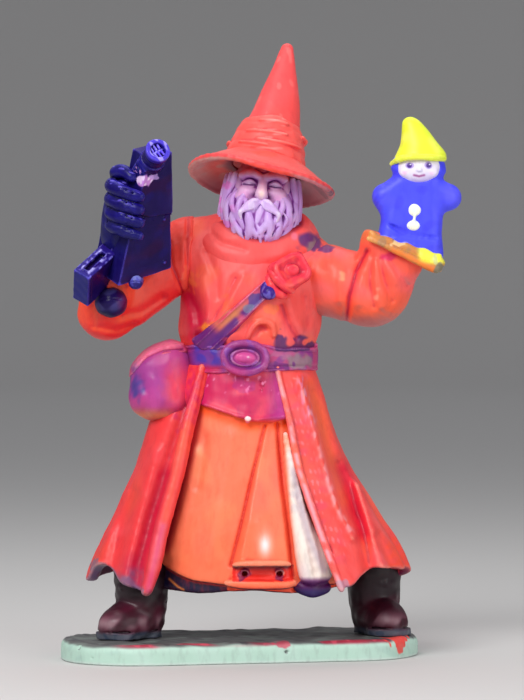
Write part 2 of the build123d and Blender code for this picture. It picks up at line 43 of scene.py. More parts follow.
# A painted wizard miniature, sculpted piece by piece as digital clay. Each piece is a signed
# distance in millimetres on a regular grid (negative inside), turned into a mesh and painted
# point by point. +Z is up, the figure faces -Y, +X is on its left-hand side.

MM = 0.001
COARSE = 1.0
FAR = 5.0                               # distance stored where a grid holds no clay


# ------------------------------------------------------------------------------ small maths
def smooth_step(value, low, high):
    t = np.clip((value - low) / (high - low), 0.0, 1.0)
    return t * t * (3.0 - 2.0 * t)


def hill(value, centre, width):
    return np.exp(-((value - centre) / width) ** 2)


def curve(value, *stations):
    """Smooth cubic curve through (position, value) stations with rising positions."""
    xs = np.array([s[0] for s in stations], dtype=np.float32)
    ys = np.array([s[1] for s in stations], dtype=np.float32)
    slopes = np.gradient(ys, xs)
    v = np.clip(value, xs[0], xs[-1])
    i = np.clip(np.searchsorted(xs, v) - 1, 0, len(xs) - 2)
    span = xs[i + 1] - xs[i]
    t = (v - xs[i]) / span
    t2, t3 = t * t, t * t * t
    return (
        (2 * t3 - 3 * t2 + 1) * ys[i]
        + (t3 - 2 * t2 + t) * span * slopes[i]
        + (3 * t2 - 2 * t3) * ys[i + 1]
        + (t3 - t2) * span * slopes[i + 1]
    )


def join(a, b, soft=0.0):
    """Union of two distances, blended over soft millimetres."""
    if soft <= 0:
        return np.minimum(a, b)
    h = np.maximum(soft - np.abs(a - b), 0.0) / soft
    return np.minimum(a, b) - h * h * soft * 0.25


def both(a, b, soft=0.0):
    return -join(-a, -b, soft)


def carve(a, b, soft=0.0):
    return both(a, -b, soft)


def unit(v):
    v = np.array(v, dtype=float)
    return v / np.linalg.norm(v)


def waves(x, y, z, size, seed):
    """Smooth lumpy noise between about -1 and 1, with lumps about size millimetres across."""
    rng = np.random.default_rng(seed)
    total = 0.0
    for _ in range(6):
        direction = unit(rng.normal(size=3)) * (2 * math.pi / size) * rng.uniform(0.6, 1.3)
        phase = rng.uniform(0, 2 * math.pi)
        total = total + np.sin(x * direction[0] + y * direction[1] + z * direction[2] + phase)
    return total / 3.0


def ellipsoid(x, y, z, centre, radii):
    px, py, pz = x - centre[0], y - centre[1], z - centre[2]
    k0 = np.sqrt((px / radii[0]) ** 2 + (py / radii[1]) ** 2 + (pz / radii[2]) ** 2) + 1e-6
    k1 = np.sqrt((px / radii[0] ** 2) ** 2 + (py / radii[1] ** 2) ** 2
                 + (pz / radii[2] ** 2) ** 2) + 1e-6
    return k0 * (k0 - 1.0) / k1


def rounded_box(u, v, w, half, rounding):
    qu = np.abs(u) - half[0] + rounding
    qv = np.abs(v) - half[1] + rounding
    qw = np.abs(w) - half[2] + rounding
    outside = np.sqrt(np.maximum(qu, 0) ** 2 + np.maximum(qv, 0) ** 2 + np.maximum(qw, 0) ** 2)
    return outside + np.minimum(np.maximum(qu, np.maximum(qv, qw)), 0) - rounding


def segment(x, y, z, a, b, ra, rb):
    """Round cone from a to b."""
    ab = np.array(b, float) - np.array(a, float)
    length2 = float(ab @ ab) + 1e-9
    px, py, pz = x - a[0], y - a[1], z - a[2]
    t = np.clip((px * ab[0] + py * ab[1] + pz * ab[2]) / length2, 0, 1)
    dx, dy, dz = px - ab[0] * t, py - ab[1] * t, pz - ab[2] * t
    return np.sqrt(dx * dx + dy * dy + dz * dz) - (ra + (rb - ra) * t)


def line_profile(u, w, points, width):
    """Gaussian ridge, 1 on a flat polyline and 0 far from it, width millimetres to each side."""
    best = np.full(np.broadcast(u, w).shape, 1e9, np.float32)
    for (au, aw), (bu, bw) in zip(points, points[1:]):
        du, dw = bu - au, bw - aw
        t = np.clip(((u - au) * du + (w - aw) * dw) / (du * du + dw * dw + 1e-9), 0, 1)
        best = np.minimum(best, (u - au - du * t) ** 2 + (w - aw - dw * t) ** 2)
    return np.exp(-best / (width * width))


def bend(points, steps=5):
    """Points along a smooth Catmull-Rom line through the given points."""
    p = [np.array(q, float) for q in points]
    p = [2 * p[0] - p[1]] + p + [2 * p[-1] - p[-2]]
    out = []
    for i in range(1, len(p) - 2):
        for s in range(steps):
            t = s / steps
            out.append(
                0.5
                * (
                    2 * p[i]
                    + (p[i + 1] - p[i - 1]) * t
                    + (2 * p[i - 1] - 5 * p[i] + 4 * p[i + 1] - p[i + 2]) * t * t
                    + (3 * p[i] - p[i - 1] - 3 * p[i + 1] + p[i + 2]) * t**3
                )
            )
    out.append(p[-2])
    return out


# ------------------------------------------------------------------------------ clay grids
class Axes:
    """A turned and shifted set of axes for building a piece square to itself."""

    def __init__(self, origin, u, w):
        self.origin = np.array(origin, float)
        self.w = unit(w)
        u = np.array(u, float)
        self.u = unit(u - self.w * (u @ self.w))
        self.v = np.cross(self.w, self.u)

    def local(self, x, y, z):
        px, py, pz = x - self.origin[0], y - self.origin[1], z - self.origin[2]
        return tuple(px * a[0] + py * a[1] + pz * a[2] for a in (self.u, self.v, self.w))

    def world(self, u, v, w):
        return tuple(self.origin + self.u * u + self.v * v + self.w * w)


class Clay:
    def __init__(self, low, high, cell):
        self.cell = cell * COARSE
        self.low = np.array(low, float)
        counts = np.ceil((np.array(high, float) - self.low) / self.cell).astype(int) + 1
        lines = [(self.low[i] + np.arange(counts[i])
                  * self.cell).astype(np.float32) for i in range(3)]
        self.x = lines[0][:, None, None]
        self.y = lines[1][None, :, None]
        self.z = lines[2][None, None, :]
        self.d = np.full(counts, FAR, np.float32)

    def copy(self):
        twin = Clay.__new__(Clay)
        twin.__dict__.update(self.__dict__)
        twin.d = self.d.copy()
        return twin

    def window(self, low, high):
        cuts = []
        for i in range(3):
            start = int(max(0, math.floor((low[i] - self.low[i]) / self.cell)))
            stop = int(min(self.d.shape[i], math.ceil((high[i] - self.low[i]) / self.cell) + 1))
            cuts.append(slice(start, max(start, stop)))
        return tuple(cuts)

    def stroke(self, points, radii, soft=0.1, dig=False, smooth=True):
        """Lay a tapering roll of clay along a line, or dig it out."""
        line = bend(points) if smooth and len(points) > 2 else [np.array(p, float) for p in points]
        stations = np.linspace(0, 1, len(radii))
        sizes = np.interp(np.linspace(0, 1, len(line)), stations, radii)
        for a, b, ra, rb in zip(line, line[1:], sizes, sizes[1:]):
            reach = max(ra, rb) + soft + 3 * self.cell
            cuts = self.window(np.minimum(a, b) - reach, np.maximum(a, b) + reach)
            x, y, z = self.x[cuts[0]], self.y[:, cuts[1]], self.z[:, :, cuts[2]]
            old = self.d[cuts]
            if old.size == 0:
                continue
            new = segment(x, y, z, a, b, ra, rb)
            self.d[cuts] = carve(old, new, soft) if dig else join(old, new, soft)

    def blob(self, centre, radii, soft=0.1, dig=False):
        reach = max(radii) + soft + 3 * self.cell
        c = np.array(centre, float)
        cuts = self.window(c - reach, c + reach)
        x, y, z = self.x[cuts[0]], self.y[:, cuts[1]], self.z[:, :, cuts[2]]
        new = ellipsoid(x, y, z, centre, radii)
        self.d[cuts] = carve(self.d[cuts], new, soft) if dig else join(self.d[cuts], new, soft)

    def roughen(self, amount, size, seed):
        self.d += amount * waves(self.x, self.y, self.z, size, seed).astype(np.float32)


def blurred(a, reach):
    """Box blur of a grid over reach cells to each side, twice."""
    width = 2 * reach + 1
    for _ in range(2):
        for axis in range(3):
            pad = [(0, 0)] * 3
            pad[axis] = (reach + 1, reach)
            total = np.cumsum(np.pad(a, pad, mode="edge"), axis=axis, dtype=np.float32)
            ahead = [slice(None)] * 3
            behind = [slice(None)] * 3
            ahead[axis] = slice(width, None)
            behind[axis] = slice(None, -width)
            a = (total[tuple(ahead)] - total[tuple(behind)]) / width
    return a


def sample(grid, points):
    """Trilinear values of a grid at points given in cells."""
    top = np.array(grid.shape) - 1.001
    p = np.clip(points, 0, top)
    i = p.astype(int)
    f = (p - i).astype(np.float32)
    total = np.zeros(len(points), np.float32)
    for cx in (0, 1):
        for cy in (0, 1):
            for cz in (0, 1):
                weight = np.ones(len(points), np.float32)
                for axis, corner in enumerate((cx, cy, cz)):
                    weight = weight * (f[:, axis] if corner else 1 - f[:, axis])
                total += weight * grid[i[:, 0] + cx, i[:, 1] + cy, i[:, 2] + cz]
    return total


def main_islands(count, quads, smallest_share=0.02):
    """Mask of the points that belong to the larger connected islands."""
    labels = np.arange(count)
    edges = np.concatenate([quads[:, [0, 1]], quads[:, [1, 2]], quads[:, [2, 3]], quads[:, [3, 0]]])
    while True:
        lowest = np.minimum(labels[edges[:, 0]], labels[edges[:, 1]])
        new = labels.copy()
        np.minimum.at(new, edges[:, 0], lowest)
        np.minimum.at(new, edges[:, 1], lowest)
        new = new[new]
        if np.array_equal(new, labels):
            break
        labels = new
    names, sizes = np.unique(labels, return_counts=True)
    kept = names[sizes >= smallest_share * sizes.max()]
    return np.isin(labels, kept)


def linear(rgb):
    """sRGB 0-255 to linear 0-1."""
    c = np.clip(np.asarray(rgb, float) / 255.0, 0, 1)
    return np.where(c <= 0.04045, c / 12.92, ((c + 0.055) / 1.055) ** 2.4)


class Surface:
    """What a painter sees of a finished piece: points, normals and how hollow each point is."""

    def __init__(self, points, normals, crevice, hollow):
        self.x, self.y, self.z = points.T
        self.n = normals
        self.crevice = crevice
        self.hollow = hollow
        self.colour = np.zeros((len(points), 3))

    def fill(self, rgb):
        self.colour[:] = rgb

    def wash(self, mask, rgb, strength=1.0):
        mask = np.clip(mask * strength, 0, 1)[:, None]
        self.colour = self.colour * (1 - mask) + np.array(rgb, float) * mask

    def mottle(self, size, seed, low, high):
        """Mask of soft lumpy patches about size millimetres across."""
        return smooth_step(waves(self.x, self.y, self.z, size, seed), low, high)

    def line(self, points, width):
        """Mask along a line drawn on the front, through (x, z) points."""
        return line_profile(self.x, self.z, points, width)

    def sunk(self, low, high):
        """Mask of the folds and grooves."""
        return smooth_step(self.crevice, low, high)

    def blot(self, centre, radii, seed, ragged=0.35, soft=0.25, size=0.6):
        """Mask of one brushed patch with a ragged edge."""
        dx, dy, dz = self.x - centre[0], self.y - centre[1], self.z - centre[2]
        r = np.sqrt((dx / radii[0]) ** 2 + (dy / radii[1]) ** 2 + (dz / radii[2]) ** 2)
        return smooth_step(1.0 + ragged * waves(self.x, self.y, self.z, size, seed) - r, 0.0, soft)


def to_object(name, clay, painter, material, nodes):
    """Mesh the clay, paint it, and put it in the scene in place of its CAD nodes."""
    grid = openvdb.FloatGrid(FAR)
    grid.copyFromArray(np.ascontiguousarray(clay.d))
    points, quads = grid.convertToQuads(0.0)
    quads = quads.astype(np.int64)
    keep = main_islands(len(points), quads)
    quads = quads[keep[quads[:, 0]]]
    renumber = np.cumsum(keep) - 1
    points, quads = points[keep], renumber[quads]

    mesh = bpy.data.meshes.new(name)
    mesh.vertices.add(len(points))
    places = (clay.low + points * clay.cell).astype(np.float32)
    mesh.vertices.foreach_set("co", (places * MM).ravel())
    mesh.loops.add(4 * len(quads))
    mesh.loops.foreach_set("vertex_index", quads.ravel().astype(np.int32))
    mesh.polygons.add(len(quads))
    mesh.polygons.foreach_set("loop_start", np.arange(0, 4 * len(quads), 4, dtype=np.int32))
    mesh.polygons.foreach_set("use_smooth", np.ones(len(quads), bool))
    mesh.update(calc_edges=True)
    normals = np.empty(3 * len(points), np.float32)
    mesh.vertices.foreach_get("normal", normals)

    fine, wide = 0.2, 0.55
    hollows = []
    for reach in (fine, wide):
        cells = max(1, round(reach / clay.cell / 1.4))
        soft = blurred(np.clip(clay.d, -reach, reach), cells)
        hollows.append(-sample(soft, points) / reach)
    surface = Surface(places, normals.reshape(-1, 3), hollows[0], hollows[1])
    painter(surface)

    tint = mesh.attributes.new("tint", "FLOAT_COLOR", "POINT")
    rgba = np.ones((len(points), 4), np.float32)
    rgba[:, :3] = linear(surface.colour)
    tint.data.foreach_set("color", rgba.ravel())
    for key, values in (("crevice", hollows[0]), ("hollow", hollows[1])):
        attribute = mesh.attributes.new(key, "FLOAT", "POINT")
        attribute.data.foreach_set("value", values.astype(np.float32))
    mesh.materials.append(material)
    thing = bpy.data.objects.new(name, mesh)
    bpy.context.scene.collection.objects.link(thing)
    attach(thing, "root")
    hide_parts(*nodes)
    print(f"piece {name}: {len(quads)} quads")
    return thing


# ------------------------------------------------------------------------------ paint
def paint(name, shade, light, roughness=0.42, grain=0.25, drybrush=0.5, shade_power=1.0, coat=0.0,
          streak=(1.0, 1.0, 0.35), sheen=0.35):
    """Hand-brushed acrylic: tinted base, a dark wash that paints shade into crevices and hollows, dry-brushed
    painted highlights on raised edges, brush marks.
    """
    material = bpy.data.materials.new(name)
    material.use_nodes = True
    tree = material.node_tree
    nodes, links = tree.nodes, tree.links
    nodes.clear()

    def node(kind, **inputs):
        item = nodes.new(kind)
        for key, value in inputs.items():
            item.inputs[key.replace("_", " ")].default_value = value
        return item

    def math_node(operation, a, b, c=None):
        item = nodes.new("ShaderNodeMath")
        item.operation = operation
        item.use_clamp = operation == "MULTIPLY_ADD"
        for index, value in enumerate((a, b, c)):
            if value is None:
                continue
            if isinstance(value, (int, float)):
                item.inputs[index].default_value = value
            else:
                links.new(value, item.inputs[index])
        return item.outputs[0]

    def ramp(value, low, high):
        item = nodes.new("ShaderNodeMapRange")
        item.interpolation_type = "SMOOTHSTEP"
        item.inputs["From Min"].default_value = low
        item.inputs["From Max"].default_value = high
        links.new(value, item.inputs["Value"])
        return item.outputs["Result"]

    def mix_colour(factor, a, b, mode="MIX"):
        item = nodes.new("ShaderNodeMix")
        item.data_type = "RGBA"
        item.blend_type = mode
        for socket, value in ((item.inputs[0], factor), (item.inputs[6], a), (item.inputs[7], b)):
            if isinstance(value, (int, float)):
                socket.default_value = value
            elif isinstance(value, tuple):
                socket.default_value = (*linear(value), 1)
            else:
                links.new(value, socket)
        return item.outputs[2]

    def noise(scale, detail, stretch=None):
        place = nodes.new("ShaderNodeTexCoord").outputs["Object"]
        mapping = nodes.new("ShaderNodeMapping")
        mapping.inputs["Scale"].default_value = stretch or (1, 1, 1)
        links.new(place, mapping.inputs["Vector"])
        item = node("ShaderNodeTexNoise", Scale=scale, Detail=detail, Roughness=0.55)
        links.new(mapping.outputs[0], item.inputs["Vector"])
        return item.outputs["Fac"]

    def attribute(key, output):
        item = nodes.new("ShaderNodeAttribute")
        item.attribute_name = key
        return item.outputs[output]

    tint = attribute("tint", "Color")
    crevice = attribute("crevice", "Fac")
    hollow = attribute("hollow", "Fac")
    per_mm = 1.0 / MM
    mottled = noise(0.9 * per_mm, 3.0)
    brushed = noise(2.6 * per_mm, 4.0, streak)
    grains = noise(9.0 * per_mm, 2.0)

    base = mix_colour(ramp(mottled, 0.35, 0.8), tint, mix_colour(0.03, tint, light), "MIX")
    base = mix_colour(math_node("MULTIPLY", ramp(brushed, 0.45, 0.75), 0.16), base, shade)
    # Painted shade: crevices and wider hollows are darkened towards the shade colour.
    deep = math_node("ADD", crevice,
                     math_node("MULTIPLY", math_node("SUBTRACT", brushed, 0.5), 0.12))
    base = mix_colour(math_node("MULTIPLY", ramp(deep, 0.06, 0.36), 0.75 * shade_power), base,
                      shade)
    base = mix_colour(math_node("MULTIPLY", ramp(hollow, 0.1, 0.5), 0.4 * shade_power), base, shade)
    # Painted highlight: raised edges are dry-brushed towards the light colour.
    raised = math_node("MULTIPLY", crevice, -1.0)
    drybrush_highlight = math_node("ADD", raised, math_node("MULTIPLY", math_node("SUBTRACT", grains, 0.5), 0.24))
    base = mix_colour(math_node("MULTIPLY", ramp(drybrush_highlight, 0.15, 0.45), drybrush), base, light)

    height = math_node("ADD", math_node("MULTIPLY", grains, 0.35), brushed)
    bump = node("ShaderNodeBump", Strength=grain, Distance=0.03 * MM)
    links.new(height, bump.inputs["Height"])
    gloss = math_node("ADD", math_node("MULTIPLY", mottled, 0.22), roughness - 0.11)

    shader = nodes.new("ShaderNodeBsdfPrincipled")
    shader.inputs["Specular IOR Level"].default_value = sheen
    shader.inputs["Coat Weight"].default_value = coat
    shader.inputs["Coat Roughness"].default_value = 0.18
    links.new(base, shader.inputs["Base Color"])
    links.new(gloss, shader.inputs["Roughness"])
    links.new(bump.outputs[0], shader.inputs["Normal"])
    output = nodes.new("ShaderNodeOutputMaterial")
    links.new(shader.outputs[0], output.inputs["Surface"])
    return material


CORAL_SHADE = (168, 18, 52)
CORAL_LIGHT = (255, 170, 150)

coat_red = paint("coat_red", CORAL_SHADE, CORAL_LIGHT, drybrush=0.4)
hat_red = paint("hat_red", (178, 30, 56), (255, 160, 140), drybrush=0.3)
robe_orange = paint("robe_orange", (214, 50, 40), (255, 200, 170), drybrush=0.3)
apron_pink = paint("apron_pink", (110, 20, 90), (250, 150, 190), drybrush=0.5)
belt_plum = paint("belt_plum", (70, 20, 90), (230, 150, 190), drybrush=0.6)
strap_plum = paint("strap_plum", (60, 20, 80), (240, 150, 170), drybrush=0.6)
pouch_pink = paint("pouch_pink", (96, 26, 90), (250, 170, 200), drybrush=0.5)
skin_lilac = paint("skin_lilac", (104, 20, 110), (240, 220, 245), drybrush=0.5)
beard_lilac = paint("beard_lilac", (92, 20, 110), (236, 222, 250), drybrush=0.75)
gun_blue = paint("gun_blue", (8, 2, 44), (116, 100, 244), roughness=0.32, drybrush=0.42, coat=0.06,
                 sheen=0.12)
glove_blue = paint("glove_blue", (4, 2, 44), (100, 92, 230), roughness=0.34, drybrush=0.4,
                   coat=0.06, sheen=0.16)
doll_blue = paint("doll_blue", (36, 30, 190), (130, 135, 255), drybrush=0.3)
doll_yellow = paint("doll_yellow", (190, 150, 40), (252, 255, 170), drybrush=0.35)
doll_white = paint("doll_white", (120, 70, 150), (255, 255, 255), drybrush=0.4)
lining_white = paint("lining_white", (90, 30, 100), (255, 250, 248), drybrush=0.4)
base_mint = paint("base_mint", (80, 70, 80), (220, 240, 230), roughness=0.5, drybrush=0.35)
boot_maroon = paint("boot_maroon", (10, 0, 8), (150, 120, 140), roughness=0.4, drybrush=0.35)


class Bell:
    """A draped tube of cloth, given by its left and right outlines and its half depth by height."""

    def __init__(self, left, right, middle, depth):
        self.left, self.right, self.middle, self.depth = left, right, middle, depth

    def ring(self, z):
        low, high = curve(z, *self.left), curve(z, *self.right)
        return (low + high) / 2, (high - low) / 2, curve(z, *self.middle), curve(z, *self.depth)

    def distance(self, x, y, z):
        cx, a, cy, b = self.ring(z)
        u, v = (x - cx) / a, (y - cy) / b
        rho = np.sqrt(u * u + v * v) + 1e-6
        slope = np.sqrt((u / (a * rho)) ** 2 + (v / (b * rho)) ** 2)
        return (rho - 1) / slope

    def heading(self, x, y, z):
        cx, a, cy, b = self.ring(z)
        return np.arctan2((y - cy) / b, (x - cx) / a)

    def fore(self, x, y, z):
        """1 on the front half and 0 on the back."""
        _, _, cy, b = self.ring(z)
        return smooth_step(-(y - cy) / b, -0.05, 0.4)

    def front(self, x, z, out=0.0):
        cx, a, cy, b = self.ring(np.float64(z))
        return float(cy - b * math.sqrt(max(0.0, 1 - ((x - cx) / a) ** 2)) - out)

    def line(self, pairs, out=0.0):
        """Points on the front surface over (x, z) pairs."""
        return [(x, self.front(x, z, out), z) for x, z in pairs]


def creases(x, z, front, *lines):
    """Folds drawn on the front: each line is (depth, width, points); depth below 0 digs in."""
    total = 0.0
    for depth, width, points in lines:
        total = total + depth * line_profile(x, z, points, width)
    return total * front


def turn_apart(heading, centre):
    return np.arctan2(np.sin(heading - centre), np.cos(heading - centre))


coat = Bell(
    left=((4.3, -11.0), (6.5, -10.35), (8.2, -9.55), (9.9, -8.7), (11.6, -8.0), (13.2, -7.3),
          (14.9, -6.8),
          (16.6, -6.3), (18.0, -5.45), (20.7, -4.1)),
    right=((4.3, 12.3), (6.5, 11.75), (8.2, 10.85), (9.9, 9.75), (11.6, 8.75), (13.2, 7.8),
           (14.9, 7.05),
           (16.6, 6.4), (18.0, 6.0), (20.7, 5.1)),
    middle=((4.3, 0.4), (20.7, 0.1)),
    depth=((4.3, 6.6), (8.0, 5.8), (11.0, 5.1), (14.0, 4.5), (17.0, 3.8), (20.7, 3.2)),
)
robe = Bell(
    left=((4.3, -7.0), (6.5, -6.6), (12.0, -5.1), (20.5, -3.3)),
    right=((4.3, 7.7), (12.0, 6.1), (20.5, 4.8)),
    middle=((4.3, 0.3), (20.5, 0.1)),
    depth=((4.3, 4.7), (8.0, 4.45), (12.0, 3.9), (16.0, 3.35), (20.5, 2.8)),
)
torso = Bell(
    left=((19.5, -3.4), (22.0, -3.9), (24.5, -4.05), (27.2, -4.1), (28.8, -3.9), (30.0, -3.2),
          (31.3, -1.4)),
    right=((19.5, 4.85), (21.5, 5.0), (22.7, 5.2), (24.0, 5.5), (27.2, 6.0), (28.6, 5.8),
           (29.6, 5.1), (31.3, 3.5)),
    middle=((19.5, 0.1), (31.3, 0.4)),
    depth=((19.5, 2.8), (22.5, 3.1), (25.0, 3.35), (27.2, 3.1), (28.8, 2.8), (30.0, 2.5),
           (31.3, 2.0)),
)

OPEN_LEFT = ((4.3, -6.45), (6.75, -5.65), (8.3, -5.4), (10.6, -4.8), (13.1, -4.1), (15.8, -3.55),
             (17.6, -3.1),
             (20.8, -2.3))
OPEN_RIGHT = ((4.3, 7.2), (6.65, 6.3), (10.1, 5.05), (13.3, 4.0), (17.0, 3.25), (19.7, 2.6),
              (20.8, 2.35))


def along(stations, count=16, low=4.6, high=20.4):
    for z in np.linspace(high, low, count):
        yield float(curve(np.float64(z), *stations)), float(z)


# ------------------------------------------------------------------------------ coat
def shape_coat():
    clay = Clay((-11.9, -7.4, 4.2), (13.0, 7.9, 20.8), 0.095)
    x, y, z = clay.x, clay.y, clay.z
    front = coat.fore(x, y, z)
    low = smooth_step(z, 19.8, 7.0)
    swell = creases(
        x, z, front,
        (-0.55, 0.55,
         [(-3.7, 17.5), (-4.5, 15.0), (-5.2, 12.7), (-6.1, 9.8), (-6.9, 6.8), (-7.2, 4.0)]),
        (0.22, 0.5, [(-5.9, 14.5), (-6.9, 10.5), (-7.9, 6.0)]),
        (-0.3, 0.45, [(-7.5, 11.5), (-8.4, 8.5), (-9.0, 5.0)]),
        (0.26, 0.5, [(-9.0, 9.5), (-9.9, 6.5)]),
        (0.34, 0.34, [(4.1, 19.5), (4.9, 17.0), (5.7, 13.8), (6.7, 10.6), (7.8, 8.6)]),
        (-0.3, 0.5, [(5.2, 18.6), (6.2, 15.0), (7.0, 12.3), (7.9, 10.0)]),
        (-0.6, 0.42, [(6.9, 13.6), (7.7, 11.8), (8.6, 8.6), (9.2, 5.0)]),
        (-0.22, 0.7, [(3.5, 16.5), (4.6, 12.5), (6.2, 8.0)]),
        (0.3, 0.5, [(8.2, 12.0), (9.4, 8.5), (10.2, 6.0)]),
        (-0.25, 0.3, [(9.6, 8.6), (10.6, 6.0)]),
        (0.18, 0.5, [(6.8, 7.6), (7.6, 5.4)]),
    )
    heading = coat.heading(x, y, z)
    for centre, depth, width in (
        (-0.1, -0.4, 0.13), (0.16, 0.3, 0.12), (0.42, -0.6, 0.11), (0.75, 0.35, 0.13),
                                 (1.02, -0.7, 0.12),
        (1.3, 0.4, 0.14), (1.62, -0.6, 0.13), (1.95, 0.4, 0.13), (2.2, -0.75, 0.12),
                                 (2.5, 0.35, 0.12),
        (2.78, -0.55, 0.11), (3.05, 0.25, 0.11),
    ):
        wander = centre + 0.04 * np.sin(z * 0.45 + 5 * centre)
        swell = swell + depth * low * (1 - front) * hill(turn_apart(heading, wander), 0.0, width)
    outer = coat.distance(x, y, z) - swell
    thick = 0.75 + 0.5 * smooth_step(z, 9.0, 19.0)
    clay.d = both(outer, -(outer + thick), 0.25).astype(np.float32)
    side = curve(x, (-11.0, 6.2), (-10.0, 6.5), (-8.9, 6.3), (-8.3, 5.5), (-7.3, 5.05),
                 (-6.2, 4.8), (0.0, 5.0),
                 (7.0, 5.15), (7.8, 5.35), (8.4, 5.95), (9.2, 6.4), (10.4, 6.35), (12.0, 6.25))
    back = 5.75 + 0.35 * np.cos(5 * heading + 0.6) + 0.2 * np.cos(9 * heading)
    hem = side * front + back * (1 - front)
    clay.d = both(clay.d, (hem - z) * 0.95, 0.22)
    clay.d = both(clay.d, z - 20.5, 0.2)
    edge_left, edge_right = curve(z, *OPEN_LEFT), curve(z, *OPEN_RIGHT)
    gap = np.maximum(np.maximum(edge_left - x, x - edge_right), y - 0.2)
    clay.d = carve(clay.d, gap, 0.12).astype(np.float32)
    roll = [(ex - 0.22, coat.front(ex - 0.22, ez, -0.06), ez) for ex,
            ez in along(OPEN_LEFT, 18, 4.95)]
    clay.stroke(roll, (0.14, 0.3, 0.38, 0.48, 0.48, 0.36), 0.16)
    under = [(ex + 0.1, coat.front(ex + 0.1, ez, -0.45), ez) for ex,
             ez in along(OPEN_LEFT, 14, 6.4)]
    clay.stroke(under, (0.2, 0.2, 0.18, 0.16), 0.14)
    lip = [(ex + 0.12, coat.front(ex + 0.12, ez, 0.0), ez) for ex, ez in along(OPEN_RIGHT, 18, 5.1)]
    clay.stroke(lip, (0.15, 0.2, 0.22, 0.24, 0.2), 0.14)
    clay.roughen(0.02, 1.6, 11)
    clay.roughen(0.008, 0.5, 12)
    return clay


def paint_coat(s):
    s.fill((248, 78, 74))
    left = smooth_step(s.x, 0.5, -0.5)
    s.wash(s.mottle(3.0, 21, 0.0, 0.9) * 0.5, (255, 104, 112))
    s.wash(s.mottle(4.0, 22, 0.1, 1.0) * 0.55, (255, 104, 62))
    s.wash(left * (s.y < 1), (226, 28, 44), 0.38)
    # Painted shade in the hollows of the cloth.
    s.wash(smooth_step(s.hollow, 0.02, 0.4), (222, 12, 52), 0.8)
    # Painted shade down the deep fold on the left panel.
    valley = s.line([(-5.2, 12.9), (-6.1, 9.8), (-6.9, 6.8)], 0.5) * (s.y < 0)
    s.wash(valley * 0.8, (196, 8, 56))
    s.wash(left * smooth_step(s.z, 8.3, 5.6) * (s.y < 1) * hill(s.x, -7.4, 0.7), (170, 14, 78), 0.7)
    magenta = s.blot((-3.7, -3.0, 18.4), (1.3, 2.5, 2.6), 23, soft=0.8)
    s.wash(magenta, (206, 20, 90), 0.75)
    border = s.line([(-3.0, 19.0), (-3.8, 15.8), (-5.0, 10.6), (-6.0, 6.6)], 0.34) * (s.y < -1)
    s.wash(border * smooth_step(s.z, 20, 15), (255, 108, 80), 0.6)
    lilac_hem = s.line([(-5.3, 9.4), (-5.9, 6.8), (-6.3, 5.0)], 0.3) * (s.y < -1)
    s.wash(lilac_hem, (206, 80, 160), 0.5)
    trough = s.line([(4.9, 19.2), (5.7, 16.2), (6.5, 13.5), (7.3, 11.0)], 0.42) * (s.y < 0)
    s.wash(trough, (255, 104, 62), 0.7)
    # Painted shade down the deep crease on the right panel.
    deep = s.line([(7.2, 13.2), (7.8, 11.6), (8.6, 8.8)], 0.5) * (s.y < 1)
    s.wash(deep, (214, 10, 50), 0.75)
    tip = s.blot((11.2, -1.0, 7.2), (1.6, 3.0, 1.6), 24, soft=0.8)
    s.wash(tip, (255, 78, 52), 0.8)
    band = s.line([(3.6, 18.6), (4.2, 15.5), (5.2, 11.8), (6.6, 7.6)], 0.8) * (s.y < -1)
    s.wash(band * s.mottle(1.1, 25, 0.1, 0.8), (236, 70, 96), 0.7)
    s.wash(band * smooth_step(waves(s.x, s.y, s.z * 0.35, 0.3, 26), 0.5, 1.0), (255, 160, 180),
           0.45)
    scratch = s.line([(4.25, 19.4), (4.6, 17.6), (5.0, 16.6)], 0.34) * (s.y < -1)
    s.wash(scratch * smooth_step(waves(s.x * 3, s.y, s.z * 0.6, 0.6, 27), -0.1, 0.5),
           (226, 140, 200), 0.65)
    # Painted highlight along the ridge where the right flap turns.
    ridge = s.line([(4.1, 19.5), (4.9, 17.0), (5.7, 13.8), (6.7, 10.6), (7.7, 9.0)],
                   0.2) * (s.y < -1)
    s.wash(ridge * s.mottle(0.7, 28, -0.35, 0.5), (255, 176, 186), 0.7)
    # Painted highlight along the right panel's front edge.
    edge = s.line([(2.55, 20.0), (3.35, 17.0), (4.1, 13.3), (5.15, 10.1), (6.4, 6.6), (7.1, 5.0)],
                  0.17)
    s.wash(edge * (s.y < -1) * s.mottle(1.2, 29, -0.7, 0.1), (252, 178, 198), 0.85)
    # Painted shade on the downward-facing underside of the hem.
    hem_underside_shade = smooth_step(s.z, 6.9, 5.6) * smooth_step(-s.n[:, 2], 0.1, 0.8)
    s.wash(hem_underside_shade, (92, 18, 70), 0.85)
    # Painted shade on cloth at the front that faces backwards, inside the opening.
    s.wash(smooth_step(s.n[:, 1] * (s.y < -2.0), 0.1, 0.6), (120, 8, 50), 0.8)
    # Painted highlight: a grey-blue line along the left hem edge.
    grey = smooth_step(s.z, 6.75, 6.2) * smooth_step(-s.n[:, 2], -0.35,
                                                     0.1) * (s.x < -6.6) * (s.y < 2)
    s.wash(grey, (120, 112, 150), 0.75)
    s.wash(s.blot((-10.0, -1.0, 6.4), (0.9, 2.0, 0.5), 30), (110, 108, 140), 0.7)
    s.wash(s.blot((7.0, -4.8, 5.3), (0.8, 0.9, 0.5), 31), (170, 160, 190), 0.6)


whole_coat = shape_coat()
seam_turn = math.radians(48.0)
beside = whole_coat.x - 0.8
behind = whole_coat.y - 0.4
left_seam = math.cos(seam_turn) * behind - math.sin(seam_turn) * beside
right_seam = math.cos(seam_turn) * behind + math.sin(seam_turn) * beside
for name, region in (
    ("coat_panel_left", np.maximum(left_seam, -beside)),
    ("coat_panel_right", np.maximum(right_seam, beside)),
    ("coat_panel_back", np.maximum(-left_seam, -right_seam)),
):
    panel = whole_coat.copy()
    panel.d = both(panel.d, region + 0.03, 0.14).astype(np.float32)
    to_object(name + "_cloth", panel, paint_coat, coat_red, [name])


